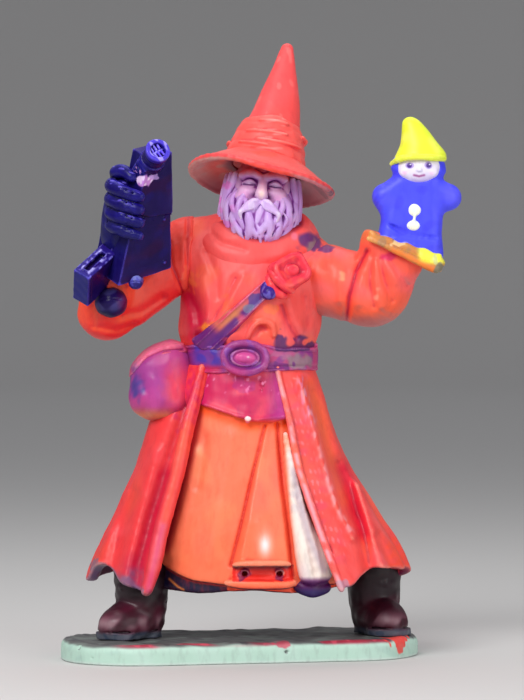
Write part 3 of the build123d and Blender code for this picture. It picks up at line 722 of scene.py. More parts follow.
# ------------------------------------------------------------------------------ robe, pleat and apron
PLEAT_LEFT = [(1.75, 16.3), (0.9, 13.0), (0.1, 9.5), (-0.62, 6.7)]
PLEAT_RIGHT = [(2.6, 16.4), (2.95, 12.0), (3.4, 8.0), (3.6, 6.0)]
ROBE_HEM = ((-7.2, 7.2), (-5.74, 6.7), (-3.5, 5.65), (-1.9, 5.4), (-0.6, 5.25), (1.5, 5.1),
            (4.0, 5.15), (8.0, 5.2))


def shape_robe():
    clay = Clay((-7.8, -6.0, 4.1), (8.4, 5.6, 20.8), 0.09)
    x, y, z = clay.x, clay.y, clay.z
    front = robe.fore(x, y, z)
    between = smooth_step(x, curve(z, (4.0, -1.1), (9.5, 0.1), (16.3, 1.75)),
                          curve(z, (4.0, -0.5), (16.3, 2.0)))
    between = between * smooth_step(x, curve(z, (4.0, 3.9), (8.0, 3.55), (16.4, 2.6)),
                                    curve(z, (4.0, 3.6), (8.0, 3.3), (16.4, 2.45)))
    swell = creases(
        x, z, front,
        (-0.22, 0.13, PLEAT_LEFT),
        (-0.25, 0.13, PLEAT_RIGHT),
        (0.12, 0.3, [(1.95, 16.3), (1.2, 12.5), (0.5, 9.0), (0.1, 7.0)]),
        (0.1, 0.5, [(-0.5, 15.5), (-1.3, 11.0), (-2.2, 7.0)]),
        (-0.1, 0.4, [(0.4, 12.0), (-0.4, 9.0), (-1.5, 5.5)]),
        (0.16, 0.45, [(-3.2, 14.5), (-4.0, 10.5), (-4.9, 7.5)]),
        (-0.12, 0.3, [(-2.4, 15.5), (-2.9, 12.0)]),
        (0.3, 0.8, [(1.5, 9.5), (1.7, 7.0)]),
    )
    swell = swell + 0.45 * between * front * smooth_step(z, 16.0, 8.0)
    heading = robe.heading(x, y, z)
    swell = swell + 0.25 * (1 - front) * smooth_step(z, 18.0, 7.0) * np.cos(9 * heading)
    body = robe.distance(x, y, z) - swell
    hem = curve(x, *ROBE_HEM) * front + 5.2 * (1 - front)
    cloth = both(body, (hem - z) * 0.97, 0.3)
    under = both(body + 0.5, (4.8 + 0.12 * np.sin(0.9 * x + 1.0) - z) * 0.97, 0.4)
    clay.d = both(join(cloth, under), z - 20.4, 0.2).astype(np.float32)
    # The box pleat stops in a rolled lip, with a shadowed tuck and two small tubes below it.
    tuck = rounded_box(x - 1.55, y + 5.35, z - 6.35, (1.85, 0.85, 0.42), 0.3)
    clay.d = carve(clay.d, tuck, 0.12).astype(np.float32)
    for tube_x in (0.35, 2.75):
        clay.stroke([(tube_x, -3.7, 6.2), (tube_x, -4.35, 6.15)], (0.42, 0.42), 0.1)
        clay.stroke([(tube_x, -3.9, 6.2), (tube_x, -4.9, 6.1)], (0.2, 0.24), 0.06, dig=True)
    lip = [(-0.4, -4.75, 6.75), (0.3, -5.0, 6.86), (1.5, -5.12, 6.88), (2.8, -4.95, 6.88),
           (3.45, -4.6, 6.8)]
    clay.stroke(lip, (0.12, 0.17, 0.19, 0.17, 0.12), 0.14)
    foot = [(-0.9, -4.55, 5.5), (0.3, -4.75, 5.42), (1.6, -4.85, 5.38), (3.0, -4.65, 5.4),
            (3.7, -4.25, 5.5)]
    clay.stroke(foot, (0.2, 0.26, 0.28, 0.26, 0.2), 0.2)
    clay.roughen(0.015, 1.8, 31)
    clay.roughen(0.006, 0.5, 32)
    return clay


def paint_robe(s):
    s.fill((253, 122, 88))
    s.wash(s.mottle(4.5, 41, 0.0, 1.0) * 0.4, (255, 104, 92))
    s.wash(s.mottle(3.0, 42, 0.2, 1.0) * 0.35, (255, 150, 100))
    s.wash(smooth_step(s.z, 13.0, 6.0) * 0.35, (255, 110, 62))
    # Painted shade in the pleat lines.
    lines = s.line(PLEAT_LEFT, 0.22) + s.line(PLEAT_RIGHT, 0.2)
    s.wash(lines * (s.y < 0), (240, 72, 48), 0.45)
    # Painted highlight: a white spot on the raised pleat.
    s.wash(hill(s.x, 1.75, 0.42) * hill(s.z, 8.15, 0.75) * (s.y < 0), (255, 240, 240), 1.0)
    # A small painted highlight.
    s.wash(hill(s.x, -2.9, 0.3) * hill(s.z, 14.6, 0.4) * (s.y < 0), (255, 190, 140), 0.7)
    under_apron = s.line([(-3.2, 17.6), (-1.5, 17.0), (0.5, 16.3), (3.4, 16.4)], 0.35) * (s.y < 0)
    s.wash(under_apron, (255, 84, 24), 0.85)
    # Painted shade on the robe beside the coat's rolled edge.
    by_roll = s.line([(-3.0, 17.0), (-3.6, 14.0), (-4.5, 10.5), (-5.2, 7.8)], 0.35) * (s.y < 0)
    s.wash(by_roll, (220, 30, 60), 0.75)
    tuck = (s.z < 6.72) * (s.z > 5.62) * (s.x > -0.5) * (s.x < 3.7) * (s.y < -2.5)
    s.wash(tuck * 1.0, (240, 44, 36))
    # Painted shade in the two tube openings.
    for tube_x in (0.35, 2.75):
        s.wash(s.blot((tube_x, -4.4, 6.15), (0.5, 1.5, 0.46), 43), (124, 8, 70), 0.9)
    # Painted shadow: a dark line under the rolled lip of the pleat.
    s.wash(tuck * hill(s.z, 6.62, 0.16), (60, 0, 30), 0.9)
    hem = curve(s.x, *ROBE_HEM)
    below = smooth_step(s.z, hem + 0.12, hem - 0.12)
    inner = np.clip(below * (s.x < -0.9) + (s.y > 2.0) * smooth_step(s.z, 5.3, 5.0), 0, 1)
    s.wash(inner, (14, 10, 52))
    s.wash(smooth_step(s.z, 5.45, 5.0) * (s.x > -0.9), (255, 64, 40), 0.7)
    glint = s.line([(-4.9, 5.6), (-4.3, 5.1), (-3.9, 4.9)], 0.09) * (s.y < 0)
    s.wash(glint, (250, 140, 60), 0.9)
    # Painted shade on downward-facing surfaces.
    s.wash(smooth_step(-s.n[:, 2], 0.6, 0.9), (50, 8, 50), 0.9)


to_object("under_robe_cloth", shape_robe(), paint_robe, robe_orange, ["under_robe"])


def shape_pleat():
    clay = Clay((2.2, -6.0, 3.9), (6.8, -1.6, 16.4), 0.07)
    spine = [(3.15, -3.35, 15.7), (3.55, -3.6, 13.0), (4.1, -3.85, 10.0), (4.65, -3.95, 7.6),
             (4.95, -3.85, 6.1)]
    clay.stroke(spine, (0.16, 0.36, 0.62, 0.86, 0.88), 0.1)
    side = [(3.35, -3.3, 14.0), (4.2, -3.45, 10.0), (5.3, -3.45, 7.4), (5.7, -3.4, 6.0)]
    clay.stroke(side, (0.2, 0.4, 0.62, 0.62), 0.4)
    clay.stroke([(4.1, -3.3, 5.2), (5.0, -3.5, 4.95), (5.9, -3.2, 5.1)], (0.42, 0.5, 0.42), 0.16)
    fold = [(3.8, -4.15, 12.0), (4.75, -4.78, 9.0), (5.5, -4.75, 5.6)]
    clay.stroke(fold, (0.18, 0.2, 0.24), 0.3, dig=True)
    clay.roughen(0.012, 1.2, 51)
    return clay


def paint_pleat(s):
    s.fill((250, 236, 224))
    s.wash(s.mottle(2.2, 52, 0.0, 0.9), (242, 222, 230), 0.5)
    # Painted shade along the fold.
    grey = s.line([(3.75, 13.2), (4.2, 10.8), (4.8, 8.6), (5.8, 6.4)], 0.3)
    s.wash(grey, (150, 130, 156), 0.45)
    s.wash(hill(s.z, 11.2, 0.9) * s.mottle(0.9, 53, -0.2, 0.6), (200, 194, 204), 0.5)
    s.wash(smooth_step(s.z, 14.3, 15.8), (255, 130, 80), 0.9)
    left_edge = s.line([(3.0, 15.0), (3.35, 10.0), (3.75, 6.2)], 0.22)
    s.wash(left_edge, (252, 110, 70), 0.8)
    s.wash(smooth_step(s.z, 6.0, 5.45), (78, 8, 84))
    s.wash(smooth_step(s.z, 5.25, 4.8), (30, 14, 92), 0.8)


to_object("underskirt_pleat_cloth", shape_pleat(), paint_pleat, lining_white,
          ["underskirt_pleat"])


def shape_apron():
    clay = Clay((-4.4, -5.3, 15.9), (4.9, -1.2, 20.9), 0.06)
    x, y, z = clay.x, clay.y, clay.z
    over = robe.distance(x, y, z) - 0.42
    over = over - creases(
        x, z, 1.0,
        (0.16, 0.7, [(0.3, 20.0), (0.5, 17.4)]),
        (-0.12, 0.25, [(-2.3, 20.2), (-2.6, 17.8)]),
        (0.2, 0.22, [(-2.75, 20.4), (-3.05, 17.7)]),
        (-0.1, 0.3, [(2.2, 20.0), (2.5, 17.6)]),
        (0.14, 0.18, [(-2.4, 17.75), (-0.4, 17.05), (1.2, 16.75), (3.0, 16.95)]),
    )
    lower = curve(x, (-3.6, 17.9), (-2.6, 17.65), (-1.0, 17.15), (0.6, 16.65), (1.8, 16.5),
                  (3.4, 16.8), (4.2, 17.2))
    sheet = both(both(over, -(over + 0.7), 0.15), lower - z, 0.22)
    sheet = both(sheet, z - 20.5, 0.15)
    wings = np.maximum(curve(z, (16.0, -3.45), (20.9, -2.6)) - x,
                       x - curve(z, (16.0, 3.7), (20.9, 2.7)))
    clay.d = both(sheet, wings, 0.2).astype(np.float32)
    rng = np.random.default_rng(60)
    for px, pz, size in ((0.45, 19.35, 0.13), (0.15, 19.0, 0.1), (0.75, 18.95, 0.09),
                         (1.55, 19.2, 0.12),
                         (0.2, 19.75, 0.1), (1.5, 18.8, 0.08), (0.55, 16.75, 0.17)):
        clay.blob((px, robe.front(px, pz, 0.5), pz),
                  (size * 1.3, size, size * rng.uniform(0.8, 1.6)), 0.08)
    squiggle = [(0.2, 19.5), (0.5, 19.6), (0.62, 19.35), (0.35, 19.15), (0.6, 19.0)]
    clay.stroke(robe.line(squiggle, 0.5), (0.06, 0.08, 0.06), 0.08)
    clay.roughen(0.02, 0.9, 61)
    return clay


def paint_apron(s):
    s.fill((207, 41, 91))
    s.wash(s.mottle(1.8, 62, -0.1, 0.8), (240, 76, 96), 0.8)
    s.wash(smooth_step(s.x, 1.4, 2.8), (176, 50, 140), 0.8)
    s.wash(s.blot((0.2, -3.4, 19.1), (0.8, 2.0, 0.5), 63), (176, 50, 140), 0.45)
    s.wash(smooth_step(s.x, -1.9, -2.8), (190, 18, 100), 0.8)
    # Painted shade along the top, under the belt.
    s.wash(smooth_step(s.z, 19.8, 20.3), (120, 8, 60), 0.8)
    s.wash(s.blot((0.55, -3.9, 16.78), (0.26, 1.2, 0.2), 64, ragged=0.1), (255, 236, 236))
    s.wash(s.mottle(0.42, 65, 0.8, 1.05) * smooth_step(s.z, 18.2, 18.9), (250, 160, 200), 0.6)
    lower = s.line([(-2.8, 17.5), (-1.0, 16.95), (0.6, 16.5), (3.4, 16.6)], 0.16)
    s.wash(lower, (250, 78, 40), 0.7)


to_object("waist_apron_cloth", shape_apron(), paint_apron, apron_pink,
          ["waist_apron"])


# ------------------------------------------------------------------------------ torso and cowl
def shape_torso():
    clay = Clay((-4.9, -4.4, 19.7), (7.0, 3.9, 31.6), 0.075)
    x, y, z = clay.x, clay.y, clay.z
    front = torso.fore(x, y, z)
    swell = creases(
        x, z, front,
        (0.3, 0.8, [(-2.9, 23.2), (-1.6, 23.0), (-0.6, 22.7)]),
        (-0.16, 0.22, [(-0.3, 26.5), (-1.1, 24.9), (-2.0, 23.3)]),
        (0.12, 0.3, [(0.3, 26.6), (-0.6, 24.9), (-1.5, 23.4)]),
        (-0.4, 0.42, [(-3.6, 25.8), (-2.9, 24.2), (-2.75, 22.6)]),
        (0.15, 0.35, [(-2.6, 26.4), (-2.2, 25.0), (-2.3, 23.8)]),
        (-0.12, 0.3, [(-2.3, 28.3), (-1.6, 26.6), (-1.5, 25.2)]),
        (0.1, 0.5, [(-3.0, 28.5), (-2.4, 27.0)]),
        (-0.2, 0.25, [(2.9, 24.6), (3.3, 23.4), (3.9, 22.4)]),
        (0.22, 0.4, [(3.4, 25.0), (3.8, 23.6), (4.4, 22.8)]),
        (-0.16, 0.3, [(4.6, 25.2), (4.7, 23.8), (4.6, 22.5)]),
        (0.18, 0.5, [(1.3, 24.0), (2.2, 23.4)]),
        (0.2, 0.5, [(5.0, 26.2), (5.0, 24.5)]),
    )
    heading = torso.heading(x, y, z)
    swell = swell + (1 - front) * 0.16 * smooth_step(z, 27.5,
                                                     23.0) * np.cos(8 * heading + 0.7 * np.sin(z))
    swell = swell + (1 - front) * 0.22 * hill(z, 23.1, 1.1)
    body = torso.distance(x, y, z) - swell
    body = join(body, segment(x, y, z, (-1.0, 0.4, 29.7), (-3.4, 0.5, 28.65), 1.55, 2.2), 0.5)
    body = join(body, segment(x, y, z, (3.6, 0.3, 29.5), (5.4, 0.4, 27.8), 1.2, 1.4), 0.5)
    body = both(body, z - 31.2, 0.6)
    clay.d = both(body, 19.9 - z, 0.2).astype(np.float32)
    tie = torso.line([(0.5, 22.3), (0.75, 22.9), (1.2, 23.4), (1.9, 23.5), (2.3, 23.1),
                      (2.35, 22.5)], 0.06)
    clay.stroke(tie, (0.08, 0.13, 0.13, 0.12, 0.08), 0.22)
    hollow = torso.line([(1.1, 22.5), (1.45, 23.0), (1.85, 22.9)], 0.12)
    clay.stroke(hollow, (0.08, 0.14, 0.06), 0.3, dig=True)
    clay.roughen(0.018, 1.5, 71)
    clay.roughen(0.006, 0.45, 72)
    return clay


def paint_torso(s):
    s.fill((250, 88, 84))
    s.wash(s.mottle(3.2, 73, -0.1, 0.9), (255, 108, 116), 0.5)
    s.wash(s.mottle(2.6, 74, 0.3, 1.1), (255, 110, 70), 0.45)
    # Painted shade in the hollows.
    s.wash(smooth_step(s.hollow, 0.04, 0.4), (214, 20, 56), 0.7)
    # Painted shade in the armpit fold.
    armpit = s.line([(-3.9, 26.0), (-3.2, 24.6), (-2.9, 22.4)], 0.75) * (s.y < 1)
    s.wash(armpit, (196, 10, 56), 0.95)
    # Painted highlight on the bulge of cloth above the belt.
    s.wash(s.blot((-2.4, -2.6, 23.0), (1.0, 1.6, 0.6), 75, soft=0.8), (255, 150, 40), 0.85)
    s.wash(s.blot((-0.9, -3.2, 24.5), (0.5, 1.6, 1.3), 76, soft=0.8), (255, 110, 60), 0.5)
    s.wash(s.blot((-3.6, -1.5, 26.2), (0.9, 2, 1.0), 77, soft=0.9), (255, 130, 60), 0.7)
    # Painted shade under the overhanging cloth, just above the belt.
    low_left = s.blot((-2.2, -2.8, 22.0), (1.6, 1.6, 0.5), 78, soft=0.4)
    s.wash(low_left, (120, 22, 100), 0.9)
    peaks = curve(s.x, (1.9, 21.6), (2.3, 22.0), (2.55, 22.5), (2.85, 22.95), (3.05, 22.4),
                  (3.3, 22.65), (3.6, 22.35),
                  (4.2, 22.55), (4.7, 22.4), (5.3, 21.9))
    mark = smooth_step(s.z, peaks + 0.12, peaks - 0.12) * smooth_step(s.x, 2.2, 2.6) * (s.y < 0.3)
    s.wash(mark * s.mottle(0.9, 79, -0.75, -0.2), (84, 34, 104), 0.9)
    warm = smooth_step(s.x, 3.5, 3.9) * smooth_step(s.x, 4.7,
                                                    4.3) * hill(s.z, 22.05, 0.22) * (s.y < 0)
    s.wash(warm, (206, 70, 80), 0.35)
    s.wash(s.blot((4.6, -1.0, 29.0), (1.5, 2.5, 0.7), 82, ragged=0.15, soft=0.4), (78, 44, 110),
           0.85)
    s.wash(s.blot((2.2, -3.0, 24.4), (0.6, 1.0, 0.35), 83), (255, 120, 50), 0.5)


to_object("tunic_torso_cloth", shape_torso(), paint_torso, coat_red, ["tunic_torso"])


def shape_cowl():
    clay = Clay((-4.6, -4.6, 26.6), (6.6, 4.2, 31.8), 0.065)
    x, y, z = clay.x, clay.y, clay.z
    cx = curve(z, (26.5, 0.9), (29.2, 1.1), (31.4, 1.5))
    a = curve(z, (26.5, 4.5), (27.4, 4.35), (28.4, 4.5), (29.4, 4.35), (30.2, 3.85), (30.9, 3.2),
              (31.5, 2.8))
    b = curve(z, (26.5, 2.62), (27.4, 2.86), (28.4, 3.0), (29.4, 2.95), (30.3, 2.75), (31.4, 2.5))
    u, v = (x - cx) / a, (y - 0.15) / b
    rho = np.sqrt(u * u + v * v) + 1e-6
    slope = np.sqrt((u / (a * rho)) ** 2 + (v / (b * rho)) ** 2)
    outer = (rho - 1) / slope
    front = smooth_step(-v, -0.1, 0.5)
    outer = outer - creases(
        x, z, front,
        (0.1, 0.35, [(-2.7, 29.2), (-1.2, 28.2), (0.8, 27.75), (2.8, 28.1)]),
        (-0.12, 0.2, [(-2.3, 30.0), (-1.3, 29.0), (0.4, 28.5)]),
    )
    heading = np.arctan2(v, u)
    outer = outer - (1 - front) * 0.14 * np.cos(7 * heading + 0.8 * np.sin(2 * z))
    shell = both(outer, -(outer + 1.3), 0.3)
    low = curve(x, (-4.6, 28.2), (-2.7, 28.4), (-1.2, 27.5), (0.8, 27.0), (2.4, 27.2), (4.2, 27.9),
                (6.6, 28.2))
    low = low * front + (1 - front) * (27.9 + 0.2 * np.cos(3 * heading))
    top = 30.4 * front + 31.1 * (1 - front) + 0.2 * np.sin(2 * heading)
    clay.d = both(both(shell, low - z, 0.45), z - top, 0.5).astype(np.float32)
    clay.roughen(0.02, 1.3, 85)
    return clay


def paint_cowl(s):
    s.fill((252, 88, 86))
    s.wash(s.mottle(2.4, 86, 0.0, 0.9), (255, 104, 104), 0.6)
    s.wash(smooth_step(s.x, -1.8, -3.2) * (s.y < 1), (244, 50, 56), 0.5)
    # Painted shade on the collar under the beard.
    near_beard = ellipsoid(s.x, s.y, s.z, (1.5, -1.0, 31.2), (2.75, 2.6, 2.5))
    s.wash(smooth_step(near_beard, 0.5, 0.05), (140, 8, 40), 0.85)
    s.wash(s.blot((4.6, -0.9, 29.1), (1.2, 2.2, 0.8), 87, ragged=0.15, soft=0.4), (88, 42, 118),
           0.9)
    s.wash(s.blot((5.2, -0.8, 28.6), (0.8, 2.2, 0.7), 88, ragged=0.15, soft=0.4), (146, 132, 134),
           0.9)
    s.wash(s.blot((3.75, -2.0, 29.4), (0.35, 1.2, 0.4), 89, ragged=0.15, soft=0.6),
           (255, 120, 150), 0.8)


to_object("cowl_cloth", shape_cowl(), paint_cowl, coat_red, ["cowl"])


# ------------------------------------------------------------------------------ head and beard
skull = Axes((1.5, -0.3, 32.3), (1, 0, -0.1), (0.1, 0.09, 0.99))    # local -v is the face


def at_skull(*points):
    return [skull.world(*p) for p in points]


def shape_head():
    clay = Clay((-1.6, -4.1, 28.6), (4.6, 2.9, 35.4), 0.05)
    x, y, z = clay.x, clay.y, clay.z
    u, v, w = skull.local(x, y, z)
    clay.d = ellipsoid(u, v, w, (0, 0.05, 0.1), (2.2, 2.45, 2.8)).astype(np.float32)
    clay.stroke([(1.5, 0.1, 31.0), (1.35, 0.3, 28.9)], (1.7, 1.7), 0.4)
    clay.stroke(at_skull((-1.5, -1.85, 1.1), (-0.9, -2.2, 1.12), (-0.25, -2.35, 0.95)),
                (0.2, 0.3, 0.22), 0.3)
    clay.stroke(at_skull((1.5, -1.85, 1.1), (0.9, -2.2, 1.12), (0.25, -2.35, 0.95)),
                (0.2, 0.3, 0.22), 0.3)
    for side in (-1, 1):
        clay.blob(skull.world(0.92 * side, -2.5, 0.5), (0.62, 0.42, 0.36), 0.25, dig=True)
        clay.blob(skull.world(0.9 * side, -1.95, 0.5), (0.42, 0.36, 0.34), 0.08)
        clay.stroke(at_skull((0.42 * side, -2.22, 0.5), (0.88 * side, -2.38, 0.68),
                             (1.36 * side, -2.05, 0.5)),
                    (0.07, 0.12, 0.07), 0.06)
        clay.stroke(at_skull((0.44 * side, -2.2, 0.42), (0.88 * side, -2.3, 0.26),
                             (1.32 * side, -2.0, 0.4)),
                    (0.06, 0.09, 0.06), 0.08)
        clay.stroke(at_skull((0.5 * side, -2.3, -0.02), (1.0 * side, -2.25, -0.1),
                             (1.5 * side, -1.85, 0.1)),
                    (0.1, 0.2, 0.12), 0.25)
        clay.blob(skull.world(1.15 * side, -1.75, -0.45), (0.72, 0.62, 0.55), 0.3)
        clay.blob(skull.world(0.27 * side, -2.72, -0.36), (0.2, 0.22, 0.17), 0.12)
    clay.stroke(at_skull((0, -2.25, 0.95), (0, -2.62, 0.35), (0, -2.9, -0.15), (0, -2.92, -0.34)),
                (0.2, 0.22, 0.3, 0.3), 0.2)
    for side in (-1, 1):
        clay.blob(skull.world(0.15 * side, -2.86, -0.58), (0.08, 0.09, 0.08), 0.03, dig=True)
        clay.stroke(at_skull((0.5 * side, -2.45, -0.55), (0.85 * side, -2.3, -1.0)), (0.05, 0.08),
                    0.12, dig=True)
    clay.blob(skull.world(0, -2.55, -1.32), (0.46, 0.2, 0.16), 0.12)
    clay.roughen(0.01, 0.8, 91)
    return clay


def paint_head(s):
    u, v, w = skull.local(s.x, s.y, s.z)
    s.fill((206, 160, 206))
    # Painted reflection of the red hat on the brow.
    s.wash(smooth_step(w, 0.85, 1.3), (226, 84, 84), 0.75)
    s.wash(s.mottle(0.9, 92, 0.0, 0.8), (226, 190, 226), 0.6)
    # Painted shade in creases and hollows.
    s.wash(s.sunk(0.03, 0.22), (106, 20, 112), 0.9)
    s.wash(smooth_step(s.hollow, 0.0, 0.3), (122, 30, 120), 0.6)
    for side in (-1, 1):
        # Painted shade in the eye sockets.
        socket = hill(u, 0.92 * side, 0.6) * hill(w, 0.72, 0.32) * (v < 0)
        s.wash(socket, (132, 44, 132), 0.65)
        lid = hill(u, 0.9 * side, 0.34) * hill(w, 0.5, 0.16) * (v < 0)
        s.wash(lid, (228, 200, 232), 0.9)
        slit = line_profile(u, w, [(0.5 * side, 0.42), (0.9 * side, 0.38), (1.3 * side, 0.42)],
                            0.06) * (v < 0)
        s.wash(slit, (60, 10, 80), 0.95)
        cheek = hill(u, 1.2 * side, 0.5) * hill(w, -0.4, 0.4) * (v < 0)
        s.wash(cheek, (238, 160, 214), 0.7)
    nose = hill(u, 0, 0.26) * hill(w, -0.1, 0.5) * (v < -2.3)
    s.wash(nose, (238, 196, 214), 0.9)
    s.wash(hill(u, 0, 0.2) * hill(w, -0.28, 0.25) * (v < -2.3), (250, 220, 196), 0.7)
    s.wash(hill(u, 0, 0.5) * hill(w, -1.32, 0.16) * (v < 0), (190, 70, 130), 0.9)


to_object("head_sculpt", shape_head(), paint_head, skin_lilac, ["head"])


def shape_beard():
    clay = Clay((-2.0, -4.7, 27.4), (5.0, 3.3, 34.4), 0.05)
    x, y, z = clay.x, clay.y, clay.z
    u, v, w = skull.local(x, y, z)
    core = ellipsoid(u, v, w, (0, -0.55, -1.35), (2.5, 2.35, 2.55))
    hair = ellipsoid(u, v, w, (0, 0.45, -0.1), (2.55, 2.3, 2.9))
    hair = both(hair, np.maximum(-1.0 - v, w - 1.6), 0.3)
    core = both(core, w + 0.15 - 0.5 * np.abs(u), 0.3)
    core = join(core, hair, 0.4)
    face = ellipsoid(u, v, w, (0, -2.6, 0.1), (1.35, 1.6, 1.05))
    core = carve(core, face, 0.25)
    bearing = np.arctan2(u, -v - 0.2)
    striation = 0.035 * np.sin(26 * bearing + 2.2 * np.sin(1.6 * w) + 1.5 * np.sin(3 * bearing))
    clay.d = (core + striation).astype(np.float32)
    rng = np.random.default_rng(93)
    middle = np.array([0, -0.55, -1.35])
    reach = np.array([2.55, 2.45, 2.6])

    def on_beard(turn, drop, lift):
        """Point on the beard: turn 0 is the chin's front, drop 0 the top and 1 the bottom."""
        polar = 0.32 * math.pi + drop * 0.66 * math.pi
        direction = np.array([math.sin(polar) * math.sin(turn), -math.sin(polar) * math.cos(turn),
                              math.cos(polar)])
        return skull.world(*(middle + direction * (reach + lift)))

    for row, (count, start,
              length) in enumerate(((20, 0.0, 0.62), (17, 0.26, 0.6), (13, 0.5, 0.46))):
        for lock in range(count):
            turn = -2.3 + 4.6 * (lock + 0.5 * (row % 2)) / (count - 1)
            if row == 0 and abs(turn) < 0.5:
                continue
            sway = rng.uniform(0.09, 0.2) * rng.choice((-1, 1))
            phase = rng.uniform(0, 2 * math.pi)
            stations = []
            for step in range(7):
                t = step / 6
                drop = start + length * t + rng.uniform(-0.02, 0.02)
                bent = turn * (1 - 0.25 * t) + sway * math.sin(phase + 4.4 * t)
                stations.append(on_beard(bent, drop, -0.16 + 0.09 * math.sin(math.pi * t)))
            thick = rng.uniform(0.2, 0.3)
            clay.stroke(stations, (thick * 0.4, thick, thick * 1.05, thick * 0.85, thick * 0.5),
                        0.08)
    for lock in range(46):
        turn, drop = rng.uniform(-1.9, 1.9), rng.uniform(0.2, 0.95)
        if abs(turn) < 0.4 and drop < 0.4:
            continue
        curl = rng.uniform(-0.3, 0.3)
        stations = [on_beard(turn + curl * math.sin(2.2 * t), drop + 0.2 * t,
                             0.14) for t in (0, 0.5, 1.0)]
        clay.stroke(stations, (0.03, 0.09, 0.03), 0.06, dig=lock % 2 == 0)
    for lock in range(16):
        turn = math.pi * (0.3 + 1.4 * (lock + rng.uniform(-0.2, 0.2)) / 15)
        stations = []
        for step in range(6):
            t = step / 5
            swing = turn + 0.12 * math.sin(3 * t + lock)
            wide = 2.5 + 0.25 * t
            stations.append(skull.world(wide * math.sin(swing), 0.3 - 2.25 * math.cos(swing),
                                        1.2 - 4.0 * t))
        clay.stroke(stations, (0.2, 0.32, 0.3, 0.12), 0.08)
    return clay


def paint_beard(s):
    s.fill((196, 150, 220))
    s.wash(s.mottle(1.4, 94, -0.1, 0.8), (216, 180, 236), 0.8)
    # Painted shade between the locks.
    s.wash(s.sunk(0.02, 0.16), (104, 20, 126), 0.95)
    s.wash(smooth_step(s.x, 0.1, -1.0) * s.mottle(1.1, 95, 0.0, 0.7), (226, 96, 190), 0.6)
    s.wash(smooth_step(s.z, 29.6, 28.9), (150, 60, 150), 0.6)
    s.wash(smooth_step(s.y, 0.0, 1.5), (150, 90, 180), 0.5)
    s.wash(hill(s.x, 1.5, 1.3) * hill(s.z, 29.9, 1.0) * (s.y < 0), (220, 196, 246), 0.5)


to_object("beard_sculpt", shape_beard(), paint_beard, beard_lilac, ["beard"])


def shape_moustache():
    clay = Clay((-1.0, -4.6, 29.9), (4.0, -2.0, 32.8), 0.04)
    rng = np.random.default_rng(96)
    for side in (-1, 1):
        for strand in range(4):
            shift = 0.13 * strand
            clay.stroke(
                at_skull(
                    (0.08 * side, -2.92, -0.68 - 0.5 * shift),
                    (0.5 * side, -3.12 + 0.3 * shift, -0.8 - shift),
                    ((1.0 + 0.1 * strand) * side, -2.95,
                     -1.15 - 1.1 * shift + rng.uniform(-0.05, 0.05)),
                    ((1.45 - 0.08 * strand) * side, -2.62, -1.65 - 1.2 * shift),
                ),
                (0.1, 0.19, 0.16, 0.05), 0.05,
            )
    return clay


def paint_moustache(s):
    s.fill((212, 176, 234))
    # Painted shade between the strands.
    s.wash(s.sunk(0.0, 0.2), (110, 26, 130), 0.9)
    s.wash(s.mottle(0.7, 97, 0.2, 0.8), (232, 212, 246), 0.7)


to_object("moustache_sculpt", shape_moustache(), paint_moustache, beard_lilac,
          ["moustache"])


# ------------------------------------------------------------------------------ pointed hat
hat = Axes((1.5, 0.0, 33.35), (1, 0, -0.2), (0.19, 0.22, 0.957))
CROWN = ((0.3, 2.6), (1.2, 2.72), (1.8, 2.68), (2.8, 2.34), (4.0, 1.9), (6.1, 1.42), (8.4, 0.82),
         (9.9, 0.44), (11.0, 0.1))


def shape_brim():
    clay = Clay((-4.4, -5.9, 31.0), (7.5, 6.1, 37.3), 0.075)
    u, v, w = hat.local(clay.x, clay.y, clay.z)
    r = np.sqrt(u * u + v * v) + 1e-6
    turn = np.arctan2(v, u)
    wobble = (0.14 * np.sin(2 * turn + 0.6) + 0.07 * np.sin(3 * turn + 2.0) + 0.05
              * np.sin(5 * turn)) * (r / 5.0) ** 2
    top = curve(r, (1.8, 2.2), (2.5, 1.72), (3.0, 1.38), (3.7, 0.95), (4.4, 0.5), (5.0, 0.1),
                (5.5, -0.25)) + wobble
    thick = curve(r, (2.0, 1.2), (3.4, 0.62), (5.2, 0.42))
    sheet = both((w - top) * 0.84, (top - thick - w) * 0.84, 0.1)
    reach = 5.14 + 0.05 * np.sin(3 * turn + 1.0) + 0.04 * np.sin(7 * turn)
    sheet = both(sheet, r - reach, 0.3)
    sheet = both(sheet, 2.2 - r, 0.1)
    clay.d = sheet.astype(np.float32)
    rim = []
    for step in range(49):
        a = 2 * math.pi * step / 48
        edge = 4.98
        rise = curve(np.float64(edge), (1.8, 2.2), (3.7, 0.95), (4.4, 0.5), (5.0, 0.1),
                     (5.5, -0.25))
        rise += (0.14 * math.sin(2 * a + 0.6) + 0.07 * math.sin(3 * a + 2.0) + 0.05
                 * math.sin(5 * a)) * (edge / 5) ** 2
        rim.append(hat.world(edge * math.cos(a), edge * math.sin(a), float(rise) - 0.18))
    clay.stroke(rim, (0.23, 0.23), 0.1, smooth=False)
    clay.roughen(0.018, 1.7, 101)
    clay.roughen(0.007, 0.5, 102)
    return clay


